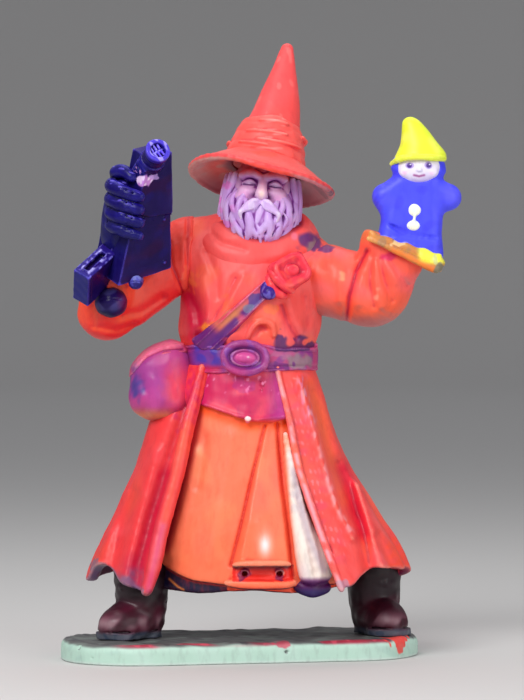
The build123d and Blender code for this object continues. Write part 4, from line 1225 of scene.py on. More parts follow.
def paint_brim(s):
    u, v, _ = hat.local(s.x, s.y, s.z)
    s.fill((252, 92, 88))
    s.wash(s.mottle(3.0, 103, 0.0, 1.0), (255, 118, 112), 0.5)
    s.wash(s.mottle(2.2, 104, 0.2, 1.0), (250, 78, 60), 0.5)
    r = np.sqrt(u * u + v * v)
    below = smooth_step(-(s.n @ hat.w), 0.05, 0.5)
    left = smooth_step(s.x, 0.5, -1.5)
    right = smooth_step(s.x, 3.2, 4.2)
    # Painted shade: the underside is darker and redder.
    s.wash(below, (234, 66, 52))
    s.wash(below * left * smooth_step(r, 3.3, 4.6), (206, 146, 142), 0.9)
    s.wash(below * left * s.mottle(1.2, 105, 0.1, 0.8), (196, 160, 150), 0.5)
    s.wash(below * right, (190, 128, 140), 0.9)
    s.wash(below * right * s.mottle(1.4, 106, 0.0, 0.9), (156, 98, 110), 0.7)
    s.wash(below * smooth_step(s.y, 1.0, 4.0), (150, 40, 70), 0.7)
    # Painted shade under the brim, nearest the crown.
    s.wash(below * smooth_step(r, 3.1, 2.4), (110, 14, 70), 0.7)
    chip = s.blot((6.45, -1.2, 32.5), (0.45, 0.9, 0.5), 107, ragged=0.5)
    s.wash(chip, (96, 70, 96), 0.75)
    edge = smooth_step(r, 4.85, 5.1) * (1 - below)
    s.wash(edge * smooth_step(s.y, 1.0, -2.0), (226, 54, 66), 0.5)


to_object("hat_brim_felt", shape_brim(), paint_brim, hat_red, ["hat_brim"])


def shape_crown():
    clay = Clay((-1.6, -3.2, 33.4), (5.6, 5.2, 43.9), 0.075)
    u, v, w = hat.local(clay.x, clay.y, clay.z)
    lean = 0.1 * np.sin((w - 3) * 0.5)
    r = np.sqrt((u - lean) ** 2 + v * v) + 1e-6
    turn = np.arctan2(v, u - lean)
    radius = curve(w,
                   *CROWN) + 0.03 * np.sin(3 * turn + 0.4 * w) + 0.025 * np.sin(2 * turn - 0.9 * w)
    cone = (r - radius) * 0.96
    tip = np.sqrt((u - lean) ** 2 + v * v + (w - 9.78) ** 2) - 0.46
    cone = join(both(cone, w - 9.75, 0.3), tip, 0.15)
    clay.d = both(cone, 0.9 - w, 0.2).astype(np.float32)
    clay.roughen(0.015, 1.6, 111)
    clay.roughen(0.006, 0.5, 112)
    return clay


def paint_crown(s):
    s.fill((248, 82, 84))
    s.wash(s.mottle(2.6, 113, 0.0, 1.0), (252, 102, 102), 0.5)
    s.wash(s.mottle(3.4, 114, 0.2, 1.0), (248, 76, 72), 0.5)
    s.wash(smooth_step(waves(s.x, s.y, s.z * 0.4, 0.7, 115), 0.6, 0.95), (255, 140, 134), 0.4)


to_object("hat_crown_felt", shape_crown(), paint_crown, hat_red, ["hat_crown"])


def shape_band():
    clay = Clay((-1.8, -3.3, 34.3), (5.4, 4.3, 38.6), 0.06)
    u, v, w = hat.local(clay.x, clay.y, clay.z)
    r = np.sqrt(u * u + v * v) + 1e-6
    turn = np.arctan2(v, u)
    slant = w + 0.12 * np.sin(turn + 0.5) + 0.1 * np.sin(2 * turn + 1.0) + 0.05 * np.sin(5 * turn)
    radius = curve(slant, (1.2, 2.86), (1.7, 2.84), (2.1, 2.72), (2.6, 2.62), (3.0, 2.5),
                   (3.5, 2.36), (4.1, 2.06), (4.6, 1.7))
    step_height = slant + 0.09 * np.sin(4 * turn + 0.7) * np.sin(turn)
    rolls = 0.045 * np.abs(np.sin(math.pi * (step_height - 1.45) / 0.72)) ** 0.7
    shell = (r - radius - rolls + 0.04) * 0.9
    body = both(shell, 1.25 - slant, 0.3)
    body = both(body, slant - 4.12, 0.22)
    body = both(body, 1.5 - r, 0.1)
    clay.d = body.astype(np.float32)
    for height, start, length in ((3.75, -2.0, 0.9), (2.95, -2.3, 1.2), (2.35, -1.9, 1.3),
                                  (2.0, -2.4, 0.8),
                                  (3.3, -0.5, 0.7), (2.6, 0.6, 1.1), (3.2, 1.8, 0.9),
                                  (2.1, 2.6, 0.8)):
        ring = []
        for step in range(7):
            a = start + length * step / 6
            rr = float(curve(np.float64(height), (1.2, 2.86), (2.6, 2.62), (3.5, 2.36),
                             (4.1, 2.06))) + 0.1
            ring.append(hat.world(rr * math.cos(a), rr * math.sin(a),
                                  height + 0.1 * math.sin(2 * a + height)))
        clay.stroke(ring, (0.02, 0.05, 0.02), 0.16)
    clay.roughen(0.02, 0.9, 121)
    return clay


def paint_band(s):
    u, v, _ = hat.local(s.x, s.y, s.z)
    s.fill((250, 90, 84))
    s.wash(s.mottle(1.8, 122, 0.0, 0.9), (255, 110, 104), 0.5)
    # Painted shade in the wrinkles.
    s.wash(s.sunk(0.02, 0.2), (222, 48, 56), 0.7)
    lit = hill(u, 0.2, 0.9) * (v < 0)
    s.wash(lit * smooth_step(-s.crevice, 0.05, 0.25), (255, 150, 140), 0.6)
    s.wash(lit * smooth_step(waves(s.x * 0.5, s.y, s.z * 2.2, 0.7, 123), 0.3, 0.8),
           (255, 160, 156), 0.6)


to_object("hat_band_felt", shape_band(), paint_band, hat_red, ["hat_band"])


# ------------------------------------------------------------------------------ belt and buckle
def shape_belt():
    clay = Clay((-4.9, -4.3, 19.5), (6.3, 4.3, 22.7), 0.06)
    x, y, z = clay.x, clay.y, clay.z
    u, v = (x - 0.72) / 4.75, (y - 0.1) / 3.42
    rho = np.sqrt(u * u + v * v) + 1e-6
    slope = np.sqrt((u / (4.75 * rho)) ** 2 + (v / (3.42 * rho)) ** 2)
    turn = np.arctan2(v, u)
    outer = (rho - 1) / slope
    sag = 0.12 * np.sin(turn) + 0.1 * np.sin(3 * turn) + 0.06 * np.sin(7 * turn)
    height = z - 21.02 - sag
    half = 0.98 - 0.18 * smooth_step(x, 1.6, 3.0) * (y < 0)
    away = np.abs(height)
    outer = outer + 0.09 * hill(away, half - 0.3, 0.1) - 0.06 * smooth_step(away, half * 0.6, half)
    band = both(both(outer, -(outer + 1.5), 0.1), np.abs(height) - half, 0.26)
    clay.d = band.astype(np.float32)
    clay.stroke([(2.7, -3.45, 21.9), (3.3, -3.2, 21.3), (4.4, -2.7, 20.9)], (0.05, 0.16, 0.05),
                0.12, dig=True)
    clay.stroke([(2.3, -3.5, 20.5), (3.3, -3.3, 20.7), (4.6, -2.5, 20.4)], (0.05, 0.13, 0.05),
                0.12, dig=True)
    clay.stroke([(-1.6, -3.45, 21.9), (-2.6, -3.0, 21.3), (-3.6, -2.1, 21.1)], (0.05, 0.14, 0.05),
                0.12, dig=True)
    clay.roughen(0.025, 0.9, 131)
    return clay


def paint_belt(s):
    s.fill((190, 60, 120))
    s.wash(s.mottle(1.2, 132, -0.1, 0.7), (136, 54, 140), 0.8)
    left = smooth_step(s.x, -0.9, -1.6) * (s.y < 1.5)
    s.wash(left, (98, 44, 150), 0.85)
    s.wash(left * s.mottle(0.9, 133, -0.2, 0.6), (66, 48, 168), 0.8)
    s.wash(smooth_step(s.x, -3.0, -4.0) * (s.y < 1.5), (206, 22, 66), 0.8)
    s.wash(left * smooth_step(s.z, 20.7, 20.2), (222, 30, 80), 0.8)
    s.wash(s.blot((4.1, -2.3, 20.7), (1.5, 2.2, 0.75), 134, ragged=0.2, soft=0.5), (148, 122, 132),
           0.9)
    s.wash(s.blot((3.0, -3.0, 21.4), (1.0, 1.6, 0.4), 135), (176, 96, 138), 0.7)
    s.wash(s.blot((3.8, -2.6, 21.7), (1.7, 1.8, 0.32), 136, ragged=0.2), (76, 28, 100), 0.9)
    s.wash(s.blot((2.9, -3.0, 20.4), (0.9, 1.6, 0.3), 137), (110, 30, 120), 0.7)


to_object("belt_strap", shape_belt(), paint_belt, belt_plum, ["belt"])

buckle = Axes((0.35, -3.55, 21.0), (1, 0.06, -0.06), (0.05, 0, 1))


def oval(u, w, half_wide, half_high):
    k0 = np.sqrt((u / half_wide) ** 2 + (w / half_high) ** 2) + 1e-6
    k1 = np.sqrt((u / half_wide**2) ** 2 + (w / half_high**2) ** 2) + 1e-6
    return k0 * (k0 - 1) / k1


def shape_buckle_frame():
    clay = Clay((-1.6, -4.8, 19.4), (2.3, -2.4, 22.6), 0.04)
    u, v, w = buckle.local(clay.x, clay.y, clay.z)
    line = oval(u, w, 1.48, 1.02)
    ring = np.sqrt(line**2 + ((v + 0.28) * 0.9) ** 2) - 0.25
    plate = both(both(oval(u, w, 1.62, 1.16), -oval(u, w, 1.05, 0.62), 0.05),
                 np.abs(v - 0.12) - 0.42, 0.15)
    clay.d = join(ring, plate, 0.1).astype(np.float32)
    clay.roughen(0.015, 0.6, 141)
    return clay


def shape_buckle_boss():
    clay = Clay((-1.3, -4.8, 19.7), (2.0, -2.9, 22.3), 0.04)
    u, v, w = buckle.local(clay.x, clay.y, clay.z)
    line = oval(u, w, 1.1, 0.68)
    disc = both(line, np.abs(v - 0.05) - 0.3, 0.18)
    rim = np.sqrt(oval(u, w, 0.92, 0.52) ** 2 + (v + 0.24) ** 2) - 0.1
    dome = ellipsoid(u, v, w, (0.05, -0.2, 0), (0.68, 0.26, 0.36))
    clay.d = join(join(disc, rim, 0.1), dome, 0.1).astype(np.float32)
    clay.blob(buckle.world(0.22, -0.46, 0.06), (0.07, 0.06, 0.07), 0.05)
    clay.roughen(0.014, 0.5, 142)
    return clay


def paint_buckle(s):
    u, _, w = buckle.local(s.x, s.y, s.z)
    s.fill((154, 52, 127))
    s.wash(s.mottle(0.9, 143, 0.0, 0.8), (128, 72, 176), 0.7)
    s.wash(smooth_step(oval(u, w, 0.7, 0.4), 0.12, -0.1), (218, 78, 150), 0.9)
    # Painted shade in the grooves round the boss.
    s.wash(hill(oval(u, w, 1.12, 0.7), 0.0, 0.1), (92, 14, 96), 0.85)
    s.wash(hill(oval(u, w, 0.8, 0.44), 0.0, 0.06), (150, 30, 110), 0.6)
    s.wash(smooth_step(w, -0.5, -1.1) * smooth_step(u, 0.6, -0.6), (214, 50, 120), 0.7)
    # Painted highlight: a pale dot on the dome.
    s.wash(hill(u, 0.22, 0.1) * hill(w, 0.06, 0.08), (255, 226, 236), 0.95)
    s.wash(smooth_step(u, 1.0, 1.5), (176, 80, 140), 0.6)


to_object("buckle_frame_cast", shape_buckle_frame(), paint_buckle, belt_plum,
          ["buckle_frame"])
to_object("buckle_boss_cast", shape_buckle_boss(), paint_buckle, belt_plum,
          ["buckle_boss"])


# ------------------------------------------------------------------------------ cross strap, badge, clasp and bead
STRAP_LOW, STRAP_HIGH = (-1.9, 22.3), (4.4, 28.2)
strap_run = unit((STRAP_HIGH[0] - STRAP_LOW[0], 0, STRAP_HIGH[1] - STRAP_LOW[1]))


def strap_place(x, z):
    """Millimetres along the strap and across it, upwards."""
    px, pz = x - STRAP_LOW[0], z - STRAP_LOW[1]
    return px * strap_run[0] + pz * strap_run[2], pz * strap_run[0] - px * strap_run[2]


def shape_strap():
    clay = Clay((-3.6, -4.6, 20.8), (4.4, -1.8, 28.3), 0.05)
    x, y, z = clay.x, clay.y, clay.z
    run, across = strap_place(x, z)
    over = torso.distance(x, y, z) - 0.36
    over = over - 0.1 * hill(np.abs(across), 0.46, 0.1) + 0.03 * np.sin(run * 3.0)
    half = curve(run, (-1.0, 0.95), (0.0, 0.85), (2.0, 0.68), (4.2, 0.55), (8.0, 0.5))
    sheet = both(both(over, -(over + 0.65), 0.1), np.abs(across) - half, 0.16)
    sheet = both(sheet, np.maximum(-1.2 - run, run - 7.0), 0.2)
    clay.d = both(sheet, 21.55 - z, 0.15).astype(np.float32)
    clay.roughen(0.025, 0.8, 151)
    return clay


def paint_strap(s):
    run, across = strap_place(s.x, s.z)
    s.fill((206, 70, 110))
    low_half = smooth_step(across, 0.18, -0.12)
    s.wash(s.mottle(0.9, 152, 0.2, -0.5) * 0.8, (226, 84, 84))
    s.wash(hill(run, 2.0, 1.5) * smooth_step(across, -0.3, 0.1), (206, 124, 80), 0.95)
    s.wash(low_half * s.mottle(1.6, 153, -0.9, -0.2), (84, 28, 118), 0.9)
    s.wash(s.blot((1.0, -3.4, 24.9), (0.7, 1.2, 0.6), 154, ragged=0.3, size=0.6), (88, 66, 140),
           0.85)
    s.wash(s.blot((0.6, -3.4, 24.4), (0.45, 1.2, 0.3), 155, ragged=0.3, size=0.5), (120, 128, 150),
           0.7)
    s.wash(smooth_step(run, 1.0, 0.2), (84, 20, 116), 0.85)
    edge = hill(across, 0.52, 0.12) + hill(across, -0.56, 0.1)
    s.wash(edge * smooth_step(run, 0.8, 1.6), (214, 44, 92), 0.8)
    s.wash(smooth_step(run, 4.6, 5.2), (236, 60, 90), 0.6)


to_object("shoulder_strap_leather", shape_strap(), paint_strap, strap_plum,
          ["shoulder_strap"])

badge = Axes((3.55, -3.35, 26.95), (0.86, 0.3, 0.5), (-0.5, 0.1, 0.86))


def shape_badge():
    clay = Clay((1.6, -5.0, 24.9), (5.6, -1.2, 28.9), 0.045)
    u, v, w = badge.local(clay.x, clay.y, clay.z)
    wobble = 0.06 * np.sin(3 * np.arctan2(w, u) + 1.0)
    square = rounded_box(u, v - 0.25, w, (1.28 + wobble, 0.75, 1.12 + wobble), 0.42)
    frame_line = rounded_box(u, 0 * v, w, (1.02, 1.0, 0.88), 0.5)
    rim = np.sqrt(frame_line**2 + (v + 0.42) ** 2) - 0.22
    clay.d = join(square, rim, 0.12).astype(np.float32)
    dish = rounded_box(u, v + 0.75, w, (0.75, 0.34, 0.6), 0.25)
    clay.d = carve(clay.d, dish, 0.12).astype(np.float32)
    clay.blob(badge.world(0.0, -0.42, 0.02), (0.52, 0.24, 0.4), 0.1)
    clay.blob(badge.world(0.05, -0.72, 0.05), (0.2, 0.12, 0.13), 0.12, dig=True)
    clay.stroke([badge.world(*p) for p in ((-0.9, -0.62, 0.95), (0.1, -0.66, 1.05),
                                           (0.95, -0.6, 0.8))],
                (0.02, 0.07, 0.02), 0.05, dig=True)
    clay.roughen(0.02, 0.7, 161)
    return clay


def paint_badge(s):
    s.fill((238, 50, 72))
    s.wash(s.mottle(1.0, 162, -0.1, 0.8), (252, 84, 72), 0.7)
    # Painted shade in the grooves.
    s.wash(s.sunk(0.02, 0.2), (190, 14, 52), 0.85)
    # Painted highlight on the raised front.
    s.wash(smooth_step(-s.crevice, 0.08, 0.3) * (s.y < -3), (255, 100, 110), 0.5)


to_object("strap_badge_cast", shape_badge(), paint_badge, coat_red, ["strap_badge"])


def shape_clasp():
    clay = Clay((1.3, -5.0, 24.6), (4.3, -2.2, 28.0), 0.045)
    bar = [(2.2, -3.5, 27.1), (2.55, -3.95, 26.5), (3.05, -4.0, 26.0), (3.55, -3.7, 25.65)]
    clay.stroke(bar, (0.26, 0.3, 0.3, 0.26), 0.1)
    clay.stroke([(1.95, -3.4, 26.6), (2.2, -3.65, 26.0), (2.7, -3.65, 25.45), (3.1, -3.5, 25.3)],
                (0.2, 0.3, 0.32, 0.2), 0.12)
    clay.stroke([(2.5, -3.4, 26.3), (2.7, -3.3, 26.0), (3.1, -3.3, 25.8)], (0.35, 0.4, 0.35), 0.15)
    clay.roughen(0.02, 0.6, 163)
    return clay


to_object("badge_clasp_cast", shape_clasp(), paint_badge, coat_red, ["badge_clasp"])


def shape_bead():
    clay = Clay((0.9, -4.8, 24.4), (3.0, -2.7, 26.4), 0.035)
    clay.blob((2.05, -3.75, 25.5), (0.52, 0.42, 0.48), 0.05)
    clay.blob((2.0, -3.4, 25.65), (0.6, 0.42, 0.68), 0.12)
    clay.stroke([(1.6, -4.1, 25.65), (2.0, -4.3, 25.8), (2.4, -4.1, 25.6)], (0.02, 0.05, 0.02),
                0.05, dig=True)
    clay.roughen(0.012, 0.4, 164)
    return clay


def paint_bead(s):
    s.fill((60, 34, 130))
    s.wash(s.mottle(0.45, 165, 0.0, 0.6), (120, 110, 200), 0.8)
    # Painted shade on the underside.
    s.wash(smooth_step(s.z, 25.2, 24.8), (20, 4, 90), 0.8)


to_object("strap_bead_cast", shape_bead(), paint_bead, gun_blue, ["strap_bead"])


# ------------------------------------------------------------------------------ hip pouch
def pouch_bag(x, y, z):
    """A plump hip bag, fuller low down and sloping off at the outer top corner."""
    slope = 0.34 * np.maximum(-4.9 - x, 0.0)
    plump = 0.16 * smooth_step(z, 20.5, 18.0) - 0.25 * smooth_step(z, 17.6, 16.4)
    bag = rounded_box(x + 5.5, y + 0.2, z - 19.35 + slope * smooth_step(z, 18.5, 21.5),
                      (2.12, 2.3, 2.85), 1.75)
    return bag - plump


def shape_pouch_body():
    clay = Clay((-8.2, -3.2, 16.1), (-2.9, 2.8, 22.5), 0.06)
    x, y, z = clay.x, clay.y, clay.z
    clay.d = (pouch_bag(x, y, z) - creases(
        x, z, 1.0,
        (-0.1, 0.3, [(-6.9, 19.6), (-6.4, 18.4), (-6.6, 17.2)]),
        (0.1, 0.35, [(-5.9, 19.4), (-5.5, 18.0), (-5.8, 17.0)]),
        (-0.1, 0.3, [(-4.9, 19.4), (-4.6, 18.2)]),
    )).astype(np.float32)
    clay.roughen(0.03, 1.2, 171)
    return clay


def paint_pouch_body(s):
    s.fill((182, 60, 132))
    s.wash(s.mottle(2.6, 172, -0.2, 0.9), (150, 56, 150), 0.6)
    s.wash(s.blot((-7.1, -1.2, 18.9), (0.8, 2.2, 1.3), 173, ragged=0.15, soft=0.7), (66, 56, 140),
           0.9)
    s.wash(s.blot((-6.0, -2.2, 18.4), (0.8, 1.6, 1.6), 174, ragged=0.1, soft=0.9), (196, 70, 150),
           0.7)
    s.wash(s.blot((-4.4, -2.0, 18.8), (1.5, 2.4, 2.8), 175, ragged=0.05, soft=1.0), (240, 60, 76),
           0.9)
    s.wash(smooth_step(s.z, 17.7, 16.9) * smooth_step(s.x, -4.2, -5.2), (222, 138, 80), 0.85)
    s.wash(smooth_step(s.z, 16.95, 16.5), (180, 60, 70), 0.7)


def shape_pouch_flap():
    clay = Clay((-8.4, -3.4, 18.5), (-2.7, 3.0, 23.0), 0.06)
    x, y, z = clay.x, clay.y, clay.z
    hang = curve(x, (-8.4, 18.9), (-7.4, 19.85), (-6.6, 20.7), (-5.4, 21.2), (-4.0, 21.3),
                 (-2.7, 21.3))
    flap = both(pouch_bag(x, y, z) - 0.1, hang - z, 0.3)
    flap = flap - creases(
        x, z, 1.0,
        (0.09, 0.14, [(-7.3, 20.4), (-6.6, 21.2), (-5.4, 21.8), (-4.0, 21.9)]),
        (-0.08, 0.09, [(-7.1, 20.1), (-6.4, 20.9), (-5.3, 21.45), (-4.0, 21.55)]),
        (0.05, 0.2, [(-6.9, 19.9), (-6.2, 20.6), (-5.2, 21.0)]),
    )
    clay.d = flap.astype(np.float32)
    clay.roughen(0.025, 1.1, 176)
    return clay


def paint_pouch_flap(s):
    s.fill((212, 73, 111))
    s.wash(s.mottle(2.4, 177, -0.1, 0.8), (206, 70, 150), 0.5)
    # Painted highlight along the raised rim.
    rim = s.line([(-7.4, 20.4), (-6.6, 21.3), (-5.4, 21.9), (-4.0, 22.0)], 0.22)
    s.wash(rim, (246, 128, 158), 0.8)
    # Painted shade in the groove.
    groove = s.line([(-7.1, 20.1), (-6.4, 20.9), (-5.3, 21.45), (-4.0, 21.55)], 0.08)
    s.wash(groove * (s.y < 0), (130, 16, 80), 0.85)
    s.wash(s.blot((-7.0, -1.2, 20.0), (0.9, 2.4, 1.1), 178, ragged=0.1, soft=0.8), (104, 62, 150),
           0.85)
    s.wash(s.blot((-4.6, -2.3, 20.3), (1.5, 2.2, 1.4), 179, ragged=0.05, soft=0.8), (252, 74, 78),
           0.9)
    s.wash(smooth_step(s.x, -4.0, -3.3), (220, 30, 60), 0.8)


to_object("pouch_body_leather", shape_pouch_body(), paint_pouch_body, pouch_pink,
          ["pouch_body"])
to_object("pouch_flap_leather", shape_pouch_flap(), paint_pouch_flap, pouch_pink,
          ["pouch_flap"])


# ------------------------------------------------------------------------------ sleeves
def shape_right_sleeve():
    clay = Clay((-12.0, -7.0, 21.6), (-1.6, 3.4, 30.9), 0.075)
    x, y, z = clay.x, clay.y, clay.z
    arm = [(-3.4, 0.5, 28.6), (-4.9, 0.2, 27.5), (-7.4, -0.7, 25.2), (-9.3, -1.5, 24.0)]
    clay.stroke(arm, (2.3, 2.05, 1.7, 1.68), 0.4)
    clay.stroke([(-9.35, -1.6, 23.95), (-9.2, -2.8, 26.2), (-8.5, -3.8, 28.7)], (1.66, 1.4, 0.85),
                0.5)
    clay.stroke([(-9.9, -1.6, 24.1), (-9.7, -2.6, 25.6)], (1.35, 1.15), 0.4)
    front = smooth_step(y, 0.6, -0.6)
    fold = creases(
        x, z, front,
        (-0.2, 0.16, [(-4.9, 29.0), (-4.7, 27.4), (-4.0, 25.6)]),
        (0.16, 0.5, [(-6.0, 27.0), (-7.6, 25.4), (-9.2, 24.2)]),
        (-0.2, 0.3, [(-5.4, 25.2), (-6.9, 24.2), (-8.2, 23.9)]),
        (-0.14, 0.26, [(-7.4, 23.3), (-8.6, 22.9), (-9.6, 23.1)]),
        (-0.16, 0.25, [(-9.6, 25.6), (-10.2, 24.4), (-10.1, 23.2)]),
        (0.1, 0.25, [(-4.0, 29.4), (-3.95, 26.5)]),
        (-0.08, 0.09, [(-3.7, 30.6), (-3.75, 28.6), (-3.6, 26.4)]),
    )
    rear = creases(
        x, z, 1 - front,
        (-0.25, 0.3, [(-5.5, 27.6), (-7.2, 25.4)]),
        (-0.25, 0.3, [(-7.6, 26.0), (-9.0, 23.6)]),
        (0.2, 0.4, [(-6.4, 27.0), (-8.2, 24.8)]),
    )
    clay.d = (clay.d - fold - rear).astype(np.float32)
    clay.d = both(clay.d, x + 3.4 - 0.08 * (z - 28.5), 0.15).astype(np.float32)
    clay.blob((-3.6, -1.55, 29.25), (0.3, 0.3, 0.26), 0.2)
    clay.roughen(0.018, 1.5, 181)
    clay.roughen(0.006, 0.45, 182)
    return clay


def paint_right_sleeve(s):
    s.fill((248, 66, 54))
    s.wash(s.mottle(2.6, 183, -0.1, 0.9), (255, 100, 96), 0.5)
    s.wash(smooth_step(s.x, -5.0, -8.5), (254, 84, 38), 0.6)
    # Painted shade in the hollows.
    s.wash(smooth_step(s.hollow, 0.05, 0.4), (206, 20, 54), 0.7)
    # Painted shade on downward-facing surfaces.
    s.wash(smooth_step(-s.n[:, 2], 0.1, 0.85), (226, 22, 36), 0.75)
    s.wash(s.blot((-3.7, -1.3, 26.4), (0.5, 1.2, 1.2), 184), (255, 128, 90), 0.5)
    # Painted shade on the forearm behind the fist.
    s.wash(s.blot((-9.6, -3.6, 27.6), (2.2, 2.6, 2.4), 185, soft=0.6) * (s.y < -2.4),
           (150, 10, 50), 0.5)
    seam = smooth_step(np.abs(s.x + 3.6), 0.16, 0.04) * (s.y < 0.6)
    s.wash(seam, (190, 20, 60), 0.3)
    # Painted highlight on the shoulder knob.
    s.wash(s.blot((-3.8, -1.2, 29.2), (0.25, 0.5, 0.2), 186), (255, 190, 180), 0.8)


to_object("right_sleeve_cloth", shape_right_sleeve(), paint_right_sleeve, coat_red,
          ["right_sleeve"])


def shape_left_sleeve():
    clay = Clay((2.9, -4.5, 22.3), (13.6, 3.6, 30.9), 0.075)
    x, y, z = clay.x, clay.y, clay.z
    clay.stroke([(4.7, 0.4, 26.7), (6.1, 0.3, 26.4), (8.0, 0.0, 25.9)], (2.2, 2.3, 2.25), 0.4)
    clay.stroke([(8.0, 0.0, 25.9), (9.3, -0.3, 25.6), (9.9, -0.6, 26.1)], (2.25, 2.25, 1.85), 0.5)
    clay.stroke([(9.6, -0.5, 26.1), (9.75, -1.3, 28.5), (9.75, -1.5, 29.3)], (1.9, 1.05, 0.95), 0.6)
    clay.stroke([(10.0, -0.6, 26.1), (11.0, -1.3, 27.2), (11.8, -1.6, 28.0)], (1.8, 1.1, 0.9), 0.6)
    clay.stroke([(10.3, -1.2, 27.3), (10.8, -1.5, 28.7)], (1.5, 1.2), 0.6)
    front = smooth_step(y, 0.6, -0.6)
    fold = creases(
        x, z, front,
        (-0.24, 0.2, [(8.85, 28.4), (8.1, 27.0), (7.6, 25.2), (7.45, 23.4)]),
        (0.16, 0.35, [(8.5, 26.6), (8.2, 24.8)]),
        (0.14, 0.3, [(7.0, 27.0), (6.9, 25.0)]),
        (-0.16, 0.24, [(9.2, 28.0), (9.0, 26.4), (9.3, 24.6)]),
        (0.14, 0.3, [(9.4, 27.6), (9.5, 26.0), (9.9, 24.6)]),
        (-0.16, 0.24, [(9.7, 27.8), (10.1, 26.2), (10.6, 25.0)]),
        (0.12, 0.3, [(10.2, 27.5), (10.8, 26.2)]),
        (-0.14, 0.24, [(10.5, 27.6), (11.2, 26.6), (11.6, 26.0)]),
        (-0.1, 0.3, [(5.3, 28.6), (4.9, 26.8), (5.1, 25.2)]),
        (-0.12, 0.3, [(6.2, 28.4), (6.1, 27.4)]),
    )
    rear = creases(
        x, z, 1 - front,
        (-0.3, 0.3, [(7.4, 28.2), (7.6, 24.0)]),
        (-0.25, 0.3, [(9.2, 28.0), (9.4, 24.6)]),
        (0.2, 0.4, [(8.4, 27.8), (8.6, 24.4)]),
        (-0.25, 0.3, [(5.4, 28.4), (5.9, 25.0)]),
    )
    clay.d = (clay.d - fold - rear).astype(np.float32)
    across = ((x - 8.95) * 0.33 + (z - 29.95) * 0.944)
    clay.d = both(clay.d, across, 0.3).astype(np.float32)
    clay.d = both(clay.d, 3.6 - x, 0.6).astype(np.float32)
    clay.roughen(0.018, 1.5, 191)
    clay.roughen(0.006, 0.45, 192)
    return clay


def paint_left_sleeve(s):
    s.fill((254, 92, 72))
    s.wash(s.mottle(2.6, 193, -0.1, 0.9), (255, 108, 118), 0.55)
    s.wash(smooth_step(s.z, 26.0, 24.0), (255, 96, 48), 0.6)
    # Painted shade in the hollows.
    s.wash(smooth_step(s.hollow, 0.05, 0.4), (212, 20, 60), 0.7)
    s.wash(smooth_step(-s.n[:, 2], 0.45, 0.95), (170, 120, 130), 0.75)
    # Painted shade in the crease.
    crease = s.line([(8.85, 28.4), (8.1, 27.0), (7.6, 25.2), (7.45, 23.4)], 0.16) * (s.y < 0.3)
    s.wash(crease, (206, 24, 60), 0.55)
    s.wash(s.blot((10.35, -2.6, 28.0), (0.75, 1.2, 0.4), 194, ragged=0.1, soft=0.6), (204, 14, 96),
           0.7)
    # Painted glossy highlights.
    s.wash(s.blot((7.1, -2.0, 26.7), (0.3, 1.2, 0.45), 195, soft=0.8), (255, 180, 130), 0.8)
    s.wash(s.blot((9.55, -2.4, 25.3), (0.3, 1.2, 0.5), 196, soft=0.8), (255, 190, 160), 0.7)
    s.wash(s.blot((4.3, -1.0, 28.6), (1.0, 2.2, 0.8), 197, ragged=0.15, soft=0.4), (150, 132, 134),
           0.9)
    s.wash(s.blot((5.9, -0.6, 28.6), (0.9, 2.2, 0.35), 198, ragged=0.15, soft=0.4), (104, 50, 120),
           0.85)
    s.wash(smooth_step(s.z, 28.6, 29.6) * (s.x < 10), (222, 130, 60), 0.6)


to_object("left_sleeve_cloth", shape_left_sleeve(), paint_left_sleeve, coat_red,
          ["left_sleeve"])


# ------------------------------------------------------------------------------ toy-like pistol
gun = Axes((-8.26, -6.2, 25.9), (0.8095, 0.5869, 0.0153), (0.2005, -0.3008, 0.9323))
MUZZLE = np.array((-5.45, -9.7, 35.05))
barrel = Axes(MUZZLE, (0.8, 0.38, 0.46), (0.299, -0.858, 0.419))


def prism(u, w, corners, soft=0.08):
    """Distance to a convex outline whose corners run anticlockwise."""
    total = -FAR
    for (au, aw), (bu, bw) in zip(corners, corners[1:] + corners[:1]):
        length = math.hypot(bu - au, bw - aw)
        edge = ((bw - aw) * (u - au) - (bu - au) * (w - aw)) / length
        total = edge if np.isscalar(total) else both(total, edge, soft)
    return total


def paint_gun(s, seed=200):
    s.fill((24, 6, 76))
    s.wash(smooth_step(waves(s.x, s.y, s.z, 1.8, seed), -0.2, 0.8), (42, 2, 62), 0.8)
    s.wash(smooth_step(waves(s.x, s.y, s.z, 1.1, seed + 1), 0.3, 1.0), (24, 14, 112), 0.35)
    # Painted light and shade by which way each face points: sides facing along u purple, sides facing against u
    # blue, upward faces lighter.
    s.wash(smooth_step(s.n @ gun.u, 0.3, 0.9), (50, 10, 84), 0.7)
    s.wash(smooth_step(-(s.n @ gun.u), 0.2, 0.8), (18, 16, 92), 0.7)
    s.wash(smooth_step(s.n[:, 2], 0.4, 0.9), (48, 38, 150), 0.5)


